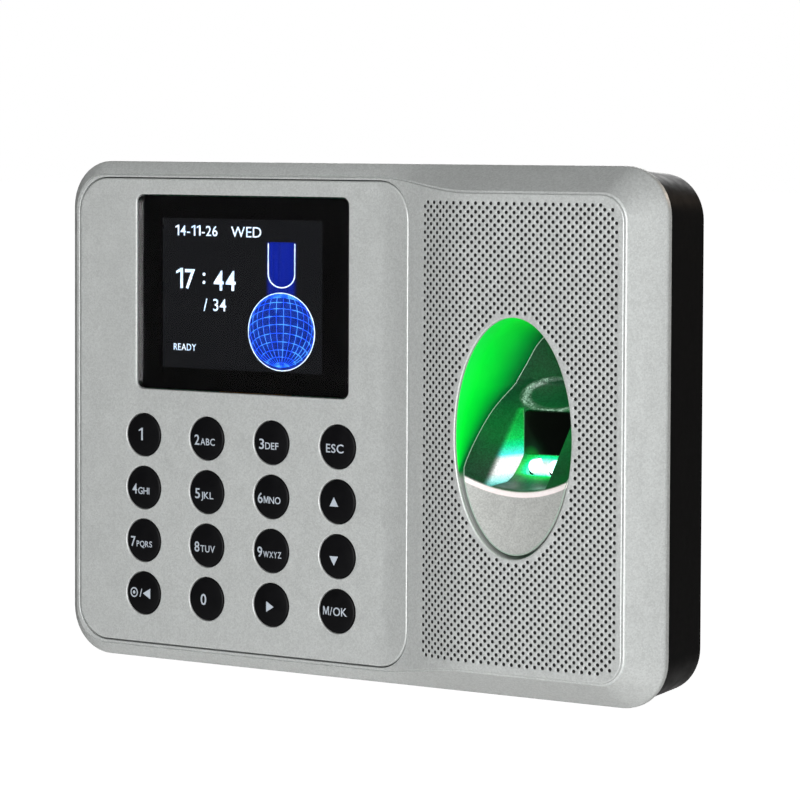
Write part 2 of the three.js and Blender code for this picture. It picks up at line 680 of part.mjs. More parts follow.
// A board screw, with its head at the front.
function boardScrew(x, z) {
  const headBack = MAIN_BOARD.y0 - 0.2;
  const head = rodY(x, z, 2.3, headBack - 1.3, headBack);
  const shank = rodY(x, z, 1.2, headBack - 0.5, BOARD_SCREW_TIP_Y);
  const slot = block(x - 1.2, x + 1.2, headBack - 2, headBack - 0.8, z - 0.35, z + 0.35);
  return head.add(shank).subtract(slot);
}

function lockScrew(x) {
  const { r, z0, t } = LOCK_HEAD;
  const head = rodZ(x, LOCK_Y, r, z0, z0 + t);
  const shank = rodZ(x, LOCK_Y, SCREW_R, z0 + 1, LOCK_TIP_Z);
  const slot = block(x - 1.6, x + 1.6, LOCK_Y - 0.35, LOCK_Y + 0.35, z0 - 1, z0 + 0.6);
  return head.add(shank).subtract(slot);
}

// ---- assembly ----
const terminal = new THREE.Group();
const caseGroup = new THREE.Group();
const wallGroup = new THREE.Group();
terminal.add(wallGroup, caseGroup);

function place(group, name, shape, material) {
  const geometry = shape.isBufferGeometry ? shape : geometryOf(shape);
  const mesh = new THREE.Mesh(geometry, material);
  mesh.name = name;
  group.add(mesh);
  return mesh;
}

place(wallGroup, 'wall_plate', wallPlate(), STEEL);

place(caseGroup, 'front_bezel', frontBezel(), SILVER);
place(caseGroup, 'keypad_panel', keypadPanel(), SILVER);
place(caseGroup, 'display_window', displayWindow(), GLOSS_BLACK);
place(caseGroup, 'display_seal', displaySeal(), RUBBER_GREY);
place(caseGroup, 'lcd_frame', lcdFrame(), STEEL);
place(caseGroup, 'lcd_screen', lcdScreen(), LCD_GREY);
place(caseGroup, 'keypad_mat', plateOf(MAT), RUBBER_GREY);
place(caseGroup, 'keypad_board', plateOf(KEY_BOARD), BOARD_GREEN);

const oneKey = keyGeometry();
for (const { name, x, z } of keyPlaces()) {
  place(caseGroup, name, oneKey.clone(), KEY_BLACK).position.set(x, 0, z);
}

place(caseGroup, 'finger_guide', fingerGuide(), SILVER);
place(caseGroup, 'light_guide', lightGuide(), LIGHT_GREEN);
place(caseGroup, 'sensor_window', sensorWindow(), GLOSS_BLACK);
place(caseGroup, 'sensor_prism', sensorPrism(), LCD_GREY);
place(caseGroup, 'sensor_board', plateOf(SENSOR_BOARD), BOARD_GREEN);
place(caseGroup, 'sensor_led_left', sensorLed(OVAL.x - LED_OFFSET), LIGHT_GREEN);
place(caseGroup, 'sensor_led_right', sensorLed(OVAL.x + LED_OFFSET), LIGHT_GREEN);

place(caseGroup, 'rear_shell', rearShell(), BLACK_SHELL);
place(caseGroup, 'main_board', mainBoard(), BOARD_GREEN);
place(caseGroup, 'speaker', speaker(), KEY_BLACK);
place(caseGroup, 'wiring_connector_1', wiringConnector(-16), PLASTIC_WHITE);
place(caseGroup, 'wiring_connector_2', wiringConnector(1.5), PLASTIC_WHITE);
place(caseGroup, 'backup_battery', backupBattery(), STEEL);
place(caseGroup, 'buzzer', buzzer(), KEY_BLACK);
place(caseGroup, 'lock_relay', lockRelay(), PLASTIC_WHITE);
place(caseGroup, 'lcd_cable', lcdCable(), FILM_AMBER);
place(caseGroup, 'keypad_cable', keypadCable(), FILM_AMBER);
place(caseGroup, 'sensor_cable', sensorCable(), FILM_AMBER);

screwCorners().forEach(([x, z], i) => {
  place(caseGroup, `case_screw_${i + 1}`, screwY(x, z, -1.6, -16, SCREW_R, 2.75), STEEL);
});
BOARD_SCREWS.forEach(([x, z], i) => {
  place(caseGroup, `board_screw_${i + 1}`, boardScrew(x, z), STEEL);
});
place(caseGroup, 'lock_screw_left', lockScrew(-LOCK_X), STEEL);
place(caseGroup, 'lock_screw_right', lockScrew(LOCK_X), STEEL);

export default terminal;
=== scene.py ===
"""Looks of a wall-mounted fingerprint scanner terminal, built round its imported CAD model.

Sizes inside the classes are millimetres in the part's own frame: X to the right seen from the
front, +Y back towards the wall, +Z up. Meshes are written in metres.
"""

import logging
import math
from collections.abc import Callable, Sequence
from dataclasses import dataclass, field
from enum import Enum
from functools import cache

import bmesh
import bpy
from mathutils import Matrix, Vector
from mathutils.geometry import delaunay_2d_cdt


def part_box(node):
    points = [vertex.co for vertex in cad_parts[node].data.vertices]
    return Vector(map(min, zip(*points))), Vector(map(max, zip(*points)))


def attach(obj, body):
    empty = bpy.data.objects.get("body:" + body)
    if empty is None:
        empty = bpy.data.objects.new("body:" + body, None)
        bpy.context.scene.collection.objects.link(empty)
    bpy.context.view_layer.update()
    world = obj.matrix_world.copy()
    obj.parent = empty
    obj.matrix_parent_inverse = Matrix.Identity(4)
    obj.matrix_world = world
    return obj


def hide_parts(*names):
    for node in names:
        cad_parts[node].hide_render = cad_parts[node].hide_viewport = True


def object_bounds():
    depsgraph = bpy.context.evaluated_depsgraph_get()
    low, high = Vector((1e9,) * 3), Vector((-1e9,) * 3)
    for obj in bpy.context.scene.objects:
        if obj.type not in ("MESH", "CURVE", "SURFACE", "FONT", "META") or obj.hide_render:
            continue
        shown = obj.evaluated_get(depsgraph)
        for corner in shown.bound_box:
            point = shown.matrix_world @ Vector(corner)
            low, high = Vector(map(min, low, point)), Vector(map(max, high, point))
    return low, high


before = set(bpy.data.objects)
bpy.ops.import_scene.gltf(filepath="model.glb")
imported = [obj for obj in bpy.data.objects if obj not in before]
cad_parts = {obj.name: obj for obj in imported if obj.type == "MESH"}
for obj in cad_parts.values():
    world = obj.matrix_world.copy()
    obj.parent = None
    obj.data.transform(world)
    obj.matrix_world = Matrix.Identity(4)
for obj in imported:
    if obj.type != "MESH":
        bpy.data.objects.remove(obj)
CAD_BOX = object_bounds()

LOG = logging.getLogger("terminal")
MM = 0.001
CASE = "terminal_case"
WALL = "wall_bracket"

Flat = tuple[float, float]
Point = tuple[float, float, float]
Colour = tuple[float, float, float]
Loop = list[int]
Height = Callable[[float, float], float]


# ---- numbers -------------------------------------------------------------------------------

def smoothstep(value: float, low: float, high: float) -> float:
    """Eased share of the way from low to high."""
    share = max(0.0, min(1.0, (value - low) / (high - low)))
    return share * share * (3 - 2 * share)


def lerp(first: float, second: float, share: float) -> float:
    """The value a share of the way from first to second."""
    return first + (second - first) * share


def spread(first: float, last: float, step: float) -> list[float]:
    """Evenly spaced values from first to last, about a step apart."""
    count = max(1, round(abs(last - first) / step))
    return [lerp(first, last, i / count) for i in range(count + 1)]


def level(depth: float) -> Height:
    """A flat height at one depth."""
    return lambda x, z: depth


def inside(point: Flat, outline: Sequence[Flat]) -> bool:
    """True if a point lies inside a closed outline."""
    x, z = point
    odd = False
    for (x0, z0), (x1, z1) in zip(outline, list(outline[1:]) + [outline[0]]):
        if (z0 > z) != (z1 > z) and x < (x1 - x0) * (z - z0) / (z1 - z0) + x0:
            odd = not odd
    return odd


@dataclass(frozen=True)
class NodeBox:
    """The lowest and highest corner of a CAD node, in millimetres."""

    x0: float
    x1: float
    y0: float
    y1: float
    z0: float
    z1: float

    @classmethod
    def of(cls, node: str) -> "NodeBox":
        """The box of the named CAD node."""
        low, high = (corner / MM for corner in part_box(node))
        return cls(low.x, high.x, low.y, high.y, low.z, high.z)

    @property
    def middle(self) -> Point:
        """The centre of the box."""
        return (self.x0 + self.x1) / 2, (self.y0 + self.y1) / 2, (self.z0 + self.z1) / 2


# ---- outlines ------------------------------------------------------------------------------

@dataclass(frozen=True)
class RoundedRect:
    """A rectangle with round corners, in the XZ plane."""

    x0: float
    x1: float
    z0: float
    z1: float
    r: float
    arc: int = 8

    def points(self, grow: float = 0.0) -> list[Flat]:
        """The closed outline, moved outwards by grow."""
        r = max(0.02, self.r + grow)
        x0, x1, z0, z1 = self.x0 - grow, self.x1 + grow, self.z0 - grow, self.z1 + grow
        corners = [(x1 - r, z1 - r), (x0 + r, z1 - r), (x0 + r, z0 + r), (x1 - r, z0 + r)]
        found = []
        for turn, (cx, cz) in enumerate(corners):
            for i in range(self.arc + 1):
                angle = math.pi / 2 * (turn + i / self.arc)
                found.append((cx + r * math.cos(angle), cz + r * math.sin(angle)))
        return found


@dataclass(frozen=True)
class Oval:
    """An ellipse or circle in the XZ plane."""

    x: float
    z: float
    a: float
    b: float
    steps: int = 112

    def points(self, grow: float = 0.0) -> list[Flat]:
        """The closed outline, moved outwards by grow."""
        turns = [2 * math.pi * i / self.steps for i in range(self.steps)]
        a, b = self.a + grow, self.b + grow
        return [(self.x + a * math.cos(t), self.z + b * math.sin(t)) for t in turns]

    def holds(self, x: float, z: float, grow: float = 0.0) -> bool:
        """True if the point is inside the outline moved outwards by grow."""
        return ((x - self.x) / (self.a + grow)) ** 2 + ((z - self.z) / (self.b + grow)) ** 2 < 1


@dataclass(frozen=True)
class Drafted:
    """An oval drawn in by an amount that changes from place to place."""

    oval: Oval
    inset: Height

    def points(self, grow: float = 0.0) -> list[Flat]:
        """The closed outline, moved outwards by grow."""
        found = []
        for k, (x, z) in enumerate(self.oval.points()):
            turn = 2 * math.pi * k / self.oval.steps
            off = grow - self.inset(x, z)
            found.append((x + off * math.cos(turn), z + off * math.sin(turn)))
        return found


@dataclass(frozen=True)
class Mirrored:
    """An outline that is the same above and below Z = 0, whose half height may change along X."""

    x0: float
    x1: float
    height: Callable[[float], float]
    r0: float
    r1: float
    xs: tuple[float, ...] = ()
    arc: int = 10

    def points(self, grow: float = 0.0) -> list[Flat]:
        """The closed outline, moved outwards by grow."""
        r0, r1 = self.r0 + grow, self.r1 + grow
        left, right = self.x0 - grow + r0, self.x1 + grow - r1
        half = []
        for i in range(self.arc + 1):
            angle = math.pi - math.pi / 2 * i / self.arc
            rise = self.height(left) + grow + r0 * (math.sin(angle) - 1)
            half.append((left + r0 * math.cos(angle), rise))
        half += [(x, self.height(x) + grow) for x in self.xs]
        for i in range(self.arc + 1):
            angle = math.pi / 2 * (1 - i / self.arc)
            rise = self.height(right) + grow + r1 * (math.sin(angle) - 1)
            half.append((right + r1 * math.cos(angle), rise))
        return half + [(x, -z) for x, z in reversed(half)]


Outline = RoundedRect | Oval | Mirrored | Drafted


# ---- the shared face -----------------------------------------------------------------------

@dataclass(frozen=True)
class Face:
    """The front surface, which rises from the keypad side to the finger side."""

    left_y: float = -22.4
    rise: float = 6.0
    rise_x: tuple[float, float] = (8.0, 38.0)
    half_left: float = 58.5
    half_right: float = 55.3

    def depth(self, x: float, z: float = 0.0) -> float:
        """The Y of the face at x."""
        return self.left_y - self.rise * smoothstep(x, *self.rise_x)

    def half(self, x: float) -> float:
        """Half the height of the face at x."""
        return lerp(self.half_left, self.half_right, smoothstep(x, *self.rise_x))

    def behind(self, gap: float) -> Height:
        """The surface that lies gap behind the face."""
        return lambda x, z: self.depth(x) + gap

    def xs(self, first: float, last: float, step: float = 1.0) -> tuple[float, ...]:
        """The places along the rise between first and last where an outline needs points."""
        low, high = self.rise_x
        return tuple(x for x in spread(low, high, step) if first < x < last)


FACE = Face()
FINGER_OPENING = Oval(50.85, -0.9, 16.05, 27.8)
DISH = Oval(50.85, 8.3, 8.5, 3.7)
RIDGE_Z = -9.5
RIDGE_SAG = 4.0
POCKET_HALF = 7.45
HOOK_X = 26.0
HOOK_Z = (28.0, -18.0)
LOCK_X = 24.0
LOCK_Y = -6.0
SCREW_CLEAR_R = 1.75
CASE_SCREWS = tuple(f"case_screw_{k}" for k in range(1, 5))
LAMP_NODES = ("sensor_led_left", "sensor_led_right")


# ---- meshes --------------------------------------------------------------------------------

class MeshMaker:
    """Collects the points and faces of one piece, in millimetres."""

    def __init__(self) -> None:
        """Starts an empty piece."""
        self.points: list[Point] = []
        self.faces: list[Sequence[int]] = []
        self.marks: list[int] = []

    def add(self, points: Sequence[Point]) -> Loop:
        """Adds points and gives their numbers."""
        first = len(self.points)
        self.points += points
        return list(range(first, first + len(points)))

    def loop(self, outline: Sequence[Flat], depth: Height) -> Loop:
        """Adds an outline laid on a surface and gives its point numbers."""
        return self.add([(x, depth(x, z), z) for x, z in outline])

    def face(self, corners: Sequence[int], mark: int = 0) -> None:
        """Adds one face with a material mark."""
        self.faces.append(tuple(corners))
        self.marks.append(mark)

    def wall(self, first: Loop, second: Loop, mark: int = 0, closed: bool = True) -> None:
        """Joins two loops of as many points with a band of quads."""
        count = len(first)
        for i in range(count if closed else count - 1):
            j = (i + 1) % count
            self.face((first[i], first[j], second[j], second[i]), mark)

    def walls(self, loops: Sequence[Loop], mark: int = 0) -> None:
        """Joins each loop to the next."""
        for first, second in zip(loops, loops[1:]):
            self.wall(first, second, mark)

    def sheet(
        self,
        outer: Loop,
        holes: Sequence[Loop],
        depth: Height,
        extra: Sequence[Flat] = (),
        mark: int = 0,
    ) -> None:
        """Fills the space between an outer loop and its holes with triangles.

        Args:
            outer: the outer loop's point numbers.
            holes: each hole's point numbers.
            depth: gives the Y of the extra points.
            extra: more points for the surface to run through.
            mark: the material mark.
        """
        numbers, edges, owner = [], [], {}
        for which, ring in enumerate([outer, *holes]):
            start = len(numbers)
            for k, number in enumerate(ring):
                owner[start + k] = which
                edges.append((start + k, start + (k + 1) % len(ring)))
            numbers += ring
        numbers += self.add([(x, depth(x, z), z) for x, z in extra])
        flat = [Vector((self.points[n][0], self.points[n][2])) for n in numbers]
        rim = [tuple(flat[k]) for k in range(len(outer))]
        made, _, triangles, origin, _, _ = delaunay_2d_cdt(flat, edges, [], 0, 1e-7)
        for triangle in triangles:
            corners = [origin[k][0] for k in triangle]
            owners = {owner.get(k, -1) for k in corners}
            if len(owners) == 1 and -1 not in owners:
                middle = sum((flat[k] for k in corners), Vector((0.0, 0.0))) / 3
                if 0 not in owners or not inside(tuple(middle), rim):
                    continue
            self.face([numbers[k] for k in corners], mark)

    def piece(
        self, name: str, finishes: Sequence["Finish"], sharp: float = 35.0, weighted: bool = False
    ) -> bpy.types.Object:
        """Makes the object.

        Args:
            name: the piece's name.
            finishes: its finishes, in the order of the marks.
            sharp: the angle in degrees above which an edge stays crisp.
            weighted: True to let wide faces set the shading of their rims.

        Returns:
            The object, in the scene.
        """
        mesh = bpy.data.meshes.new(name)
        mesh.from_pydata([(x * MM, y * MM, z * MM) for x, y, z in self.points], [], self.faces)
        mesh.polygons.foreach_set("material_index", self.marks)
        return dressed(name, mesh, finishes, sharp, weighted)


def dressed(
    name: str, mesh: bpy.types.Mesh, finishes: Sequence["Finish"], sharp: float = 35.0, weighted: bool = False
) -> bpy.types.Object:
    """Puts a mesh in the scene with its faces turned outwards, smooth shading and its finishes.

    Args:
        name: the piece's name.
        mesh: the mesh, in metres.
        finishes: the finishes of its material marks.
        sharp: the angle in degrees above which an edge stays crisp.
        weighted: True to let wide faces set the shading of their rims.

    Returns:
        The object.
    """
    work = bmesh.new()
    work.from_mesh(mesh)
    loose = [v for v in work.verts if not v.link_faces]
    bmesh.ops.delete(work, geom=loose, context="VERTS")
    bmesh.ops.recalc_face_normals(work, faces=work.faces)
    work.to_mesh(mesh)
    work.free()
    for finish in finishes:
        mesh.materials.append(finish.material())
    mesh.shade_smooth()
    mesh.set_sharp_from_angle(angle=math.radians(sharp))
    obj = bpy.data.objects.new(name, mesh)
    bpy.context.scene.collection.objects.link(obj)
    if weighted:
        modifier = obj.modifiers.new("even_shading", "WEIGHTED_NORMAL")
        modifier.keep_sharp = True
    return obj


def fillet(radius: float, steps: int = 4) -> list[Flat]:
    """The (inset, drop) pairs of a rounded edge, from its face to its side."""
    turns = [math.pi / 2 * i / steps for i in range(steps + 1)]
    return [(radius * (1 - math.sin(t)), radius * (1 - math.cos(t))) for t in turns]


@dataclass
class Plate:
    """A plate with rounded front edges, whose front may be a curved surface."""

    outline: Outline
    front: Height
    back: Height
    edge: float = 0.3
    holes: Sequence[Outline] = ()
    hole_edge: float = 0.2
    extra: Sequence[Flat] = ()
    steps: int = 4

    def build(self, maker: MeshMaker) -> MeshMaker:
        """Adds the plate to a mesh and gives the mesh back."""
        rims = [self._rim(maker, self.outline, self.edge, -1)]
        rims += [self._rim(maker, hole, self.hole_edge, 1) for hole in self.holes]
        fronts, backs = [rim[0] for rim in rims], [rim[-1] for rim in rims]
        for rim in rims:
            maker.walls(rim)
        maker.sheet(fronts[0], fronts[1:], self.front, self.extra)
        maker.sheet(backs[0], backs[1:], self.back, self.extra)
        return maker

    def _rim(self, maker: MeshMaker, outline: Outline, edge: float, way: int) -> list[Loop]:
        """The loops of one edge, from the front face round to the back face."""
        loops = []
        for inset, drop in fillet(edge, self.steps):
            loops.append(maker.loop(outline.points(way * inset), lambda x, z: self.front(x, z) + drop))
        back_edge = edge * 0.5
        for inset, drop in reversed(fillet(back_edge, 2)):
            loops.append(maker.loop(outline.points(way * inset), lambda x, z: self.back(x, z) - drop))
        return loops


@dataclass
class Lathe:
    """A turned shape about an axis through a centre, from a profile of (radius, along) pairs."""

    centre: Point
    profile: Sequence[Flat]
    steps: int = 48
    axis: str = "Y"
    closed: bool = False

    def build(self, maker: MeshMaker) -> MeshMaker:
        """Adds the turned shape to a mesh and gives the mesh back."""
        rings: list[Loop] = []
        turns = [2 * math.pi * i / self.steps for i in range(self.steps)]
        for radius, along in self.profile:
            if radius < 1e-6:
                ring = [self._place(0.0, 0.0, along)]
            else:
                ring = [self._place(radius * math.cos(t), radius * math.sin(t), along) for t in turns]
            rings.append(maker.add(ring))
        if self.closed:
            rings.append(rings[0])
        for first, second in zip(rings, rings[1:]):
            if len(first) == 1 or len(second) == 1:
                tip, ring = (first[0], second) if len(first) == 1 else (second[0], first)
                for i in range(self.steps):
                    maker.face((tip, ring[i], ring[(i + 1) % self.steps]))
            else:
                maker.wall(first, second)
        return maker

    def _place(self, u: float, v: float, along: float) -> Point:
        """A point of the turned shape in the part's frame."""
        x, y, z = self.centre
        return (x + u, y + along, z + v) if self.axis == "Y" else (x + u, y + v, z + along)


def pin(radius: float, low: float, high: float) -> list[Flat]:
    """The profile of a plain pin."""
    return [(0.0, low), (radius, low), (radius, high), (0.0, high)]


def tube(maker: MeshMaker, path: Sequence[Point], radius: float, sides: int = 6) -> None:
    """Adds a closed tube along a path, with flat ends."""
    rings = []
    for i, point in enumerate(path):
        here = Vector(point)
        ahead = Vector(path[min(i + 1, len(path) - 1)]) - Vector(path[max(i - 1, 0)])
        turn = ahead.normalized().to_track_quat("Z", "Y")
        ring = []
        for k in range(sides):
            angle = 2 * math.pi * k / sides
            ring.append(tuple(here + turn @ Vector((radius * math.cos(angle), radius * math.sin(angle), 0))))
        rings.append(maker.add(ring))
    maker.walls(rings)
    maker.face(rings[0])
    maker.face(rings[-1])


def block(maker: MeshMaker, low: Point, high: Point, edge: float = 0.2, mark: int = 0) -> None:
    """Adds a box with bevelled edges, from its low corner to its high corner."""
    work = bmesh.new()
    bmesh.ops.create_cube(work, size=1.0)
    size = [b - a for a, b in zip(low, high)]
    middle = [(a + b) / 2 for a, b in zip(low, high)]
    for vert in work.verts:
        vert.co = Vector([m + c * s for m, c, s in zip(middle, vert.co, size)])
    if edge > 0:
        bmesh.ops.bevel(work, geom=work.edges, offset=edge, segments=2, profile=0.5, affect="EDGES")
    work.verts.index_update()
    numbers = maker.add([tuple(v.co) for v in work.verts])
    for found in work.faces:
        maker.face([numbers[v.index] for v in found.verts], mark)
    work.free()


def carve(obj: bpy.types.Object, cutter: MeshMaker) -> None:
    """Cuts the cutter's closed shapes out of an object, for good."""
    tool = cutter.piece("cutter", ())
    modifier = obj.modifiers.new("carve", "BOOLEAN")
    modifier.operation, modifier.solver, modifier.object = "DIFFERENCE", "EXACT", tool
    modifier.use_self = True
    bpy.context.view_layer.update()
    cut = obj.evaluated_get(bpy.context.evaluated_depsgraph_get())
    mesh = bpy.data.meshes.new_from_object(cut)
    obj.modifiers.remove(modifier)
    obj.data = mesh
    mesh.set_sharp_from_angle(angle=math.radians(30))
    bpy.data.objects.remove(tool)


@dataclass(frozen=True)
class Seat:
    """Where a piece belongs: its CAD body, its material slot, which is not used, and the nodes it stands for.
    """

    body: str
    slot: str = ""
    nodes: tuple[str, ...] = ()

    def take(self, piece: bpy.types.Object) -> bpy.types.Object:
        """Seats the piece and gives it back."""
        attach(piece, self.body)
        if self.nodes:
            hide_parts(*self.nodes)
        LOG.info("%s rides on %s and stands for %s", piece.name, self.body, self.nodes or "no node")
        return piece


# ---- finishes ------------------------------------------------------------------------------

Socket = bpy.types.NodeSocket
MADE: dict[str, bpy.types.Material] = {}


class Bench:
    """Builds the nodes of one material. Sizes are millimetres on the piece."""

    def __init__(self, material: bpy.types.Material) -> None:
        """Starts with a bare shader and the piece's own coordinates."""
        material.use_nodes = True
        self.tree = material.node_tree
        self.tree.nodes.clear()
        self.shader = self.tree.nodes.new("ShaderNodeBsdfPrincipled")
        output = self.tree.nodes.new("ShaderNodeOutputMaterial")
        self.tree.links.new(self.shader.outputs[0], output.inputs[0])
        self.place = self.tree.nodes.new("ShaderNodeTexCoord").outputs["Object"]

    def feed(self, socket: Socket, value: Socket | float | Colour) -> None:
        """Links a value to a socket, or sets it there."""
        if isinstance(value, bpy.types.NodeSocket):
            self.tree.links.new(value, socket)
        elif isinstance(value, tuple) and len(value) == 3 and socket.type == "RGBA":
            socket.default_value = (*value, 1.0)
        else:
            socket.default_value = value

    def set(self, **values: Socket | float | Colour) -> None:
        """Feeds the shader's sockets, named with _ for a space."""
        for name, value in values.items():
            self.feed(self.shader.inputs[name.replace("_", " ")], value)

    def math(self, operation: str, first: Socket | float, second: Socket | float = 0.0) -> Socket:
        """A Math node's result."""
        node = self.tree.nodes.new("ShaderNodeMath")
        node.operation = operation
        self.feed(node.inputs[0], first)
        self.feed(node.inputs[1], second)
        return node.outputs[0]

    def mix(self, share: Socket | float, first: Socket | Colour, second: Socket | Colour) -> Socket:
        """Two colours mixed by a share."""
        node = self.tree.nodes.new("ShaderNodeMix")
        node.data_type = "RGBA"
        self.feed(node.inputs[0], share)
        self.feed(node.inputs[6], first)
        self.feed(node.inputs[7], second)
        return node.outputs[2]

    def noise(self, size: float, detail: float = 2.0, stretch: Point = (1.0, 1.0, 1.0)) -> Socket:
        """Soft noise with features of the given size."""
        place = self.tree.nodes.new("ShaderNodeVectorMath")
        place.operation = "MULTIPLY"
        self.tree.links.new(self.place, place.inputs[0])
        place.inputs[1].default_value = stretch
        node = self.tree.nodes.new("ShaderNodeTexNoise")
        self.tree.links.new(place.outputs[0], node.inputs["Vector"])
        node.inputs["Scale"].default_value = 1 / (size * MM)
        node.inputs["Detail"].default_value = detail
        return node.outputs[0]

    def flakes(self, size: float) -> Socket:
        """A random level for each small cell."""
        node = self.tree.nodes.new("ShaderNodeTexVoronoi")
        self.tree.links.new(self.place, node.inputs["Vector"])
        node.inputs["Scale"].default_value = 1 / (size * MM)
        apart = self.tree.nodes.new("ShaderNodeSeparateColor")
        self.tree.links.new(node.outputs["Color"], apart.inputs[0])
        return apart.outputs[0]

    def span(self, value: Socket, low: float, high: float, first: float = 0.0, last: float = 1.0) -> Socket:
        """The value's place between low and high, as a value from first to last."""
        node = self.tree.nodes.new("ShaderNodeMapRange")
        node.interpolation_type = "SMOOTHSTEP"
        self.tree.links.new(value, node.inputs[0])
        for k, number in enumerate((low, high, first, last)):
            node.inputs[k + 1].default_value = number
        return node.outputs[0]

    def ramp(self, value: Socket, stops: Sequence[tuple[float, Colour]]) -> Socket:
        """A colour ramp."""
        node = self.tree.nodes.new("ShaderNodeValToRGB")
        self.tree.links.new(value, node.inputs[0])
        elements = node.color_ramp.elements
        while len(elements) < len(stops):
            elements.new(1.0)
        for element, (place, colour) in zip(elements, stops):
            element.position, element.color = place, (*colour, 1.0)
        return node.outputs[0]

    def axes(self) -> tuple[Socket, Socket, Socket]:
        """The piece's X, Y and Z, in metres."""
        node = self.tree.nodes.new("ShaderNodeSeparateXYZ")
        self.tree.links.new(self.place, node.inputs[0])
        return node.outputs[0], node.outputs[1], node.outputs[2]

    def near(self, point: Point, reach: float) -> Socket:
        """1 at a point, falling to 0 at the reach."""
        node = self.tree.nodes.new("ShaderNodeVectorMath")
        node.operation = "DISTANCE"
        self.tree.links.new(self.place, node.inputs[0])
        node.inputs[1].default_value = tuple(c * MM for c in point)
        return self.span(node.outputs["Value"], 0.0, reach * MM, 1.0, 0.0)

    def bump(self, height: Socket, depth: float) -> None:
        """Raises the surface by height times depth."""
        node = self.tree.nodes.new("ShaderNodeBump")
        node.inputs["Distance"].default_value = depth * MM
        self.tree.links.new(height, node.inputs["Height"])
        self.tree.links.new(node.outputs[0], self.shader.inputs["Normal"])


@dataclass(frozen=True)
class Finish:
    """A finish with soft mottling, fine grain and relief."""

    name: str
    colour: Colour
    roughness: float = 0.5
    metallic: float = 0.0
    coat: float = 0.0
    gloss: float = 0.5
    mottle: float = 0.08
    mottle_size: float = 6.0
    grain: float = 0.06
    grain_size: float = 0.3
    relief: float = 0.004
    relief_size: float = 0.3
    stretch: Point = (1.0, 1.0, 1.0)

    def material(self) -> bpy.types.Material:
        """The finish as a material, made once."""
        found = MADE.get(self.name)
        if found is None:
            found = bpy.data.materials.new(f"{self.name}_finish")
            MADE[self.name] = found
            self.dress(Bench(found))
        return found

    def tones(self, bench: Bench) -> Socket:
        """The mottled and grained colour."""
        light = tuple(min(1.0, c * (1 + self.mottle)) for c in self.colour)
        dark = tuple(c * (1 - self.mottle) for c in self.colour)
        broad = bench.mix(bench.noise(self.mottle_size, 3.0, self.stretch), dark, light)
        deep = tuple(c * (1 - 2 * self.grain) for c in self.colour)
        speck = bench.span(bench.noise(self.grain_size, 1.0, self.stretch), 0.35, 0.7)
        return bench.mix(bench.math("MULTIPLY", speck, 0.5), broad, deep)

    def dress(self, bench: Bench) -> None:
        """Builds the nodes."""
        bench.set(Base_Color=self.tones(bench), Metallic=self.metallic)
        bench.set(Coat_Weight=self.coat, Specular_IOR_Level=self.gloss)
        rough = bench.noise(self.mottle_size * 0.5, 3.0, self.stretch)
        low, high = self.roughness * 0.85, min(1.0, self.roughness * 1.15)
        bench.set(Roughness=bench.span(rough, 0.3, 0.7, low, high))
        bench.bump(bench.noise(self.relief_size, 2.0, self.stretch), self.relief)


@dataclass(frozen=True)
class MetallicPaint(Finish):
    """Silver paint whose flakes sparkle."""

    flake: float = 0.34
    flake_share: float = 0.16

    def dress(self, bench: Bench) -> None:
        """Builds the nodes."""
        super().dress(bench)
        self.sparkle(bench)

    def sparkle(self, bench: Bench) -> None:
        """Lays bright and dark flakes over the paint."""
        light = tuple(min(1.0, c * (1 + self.flake_share)) for c in self.colour)
        dark = tuple(c * (1 - self.flake_share) for c in self.colour)
        cells = bench.mix(bench.flakes(self.flake), dark, light)
        bench.set(Base_Color=bench.mix(0.6, self.tones(bench), cells))


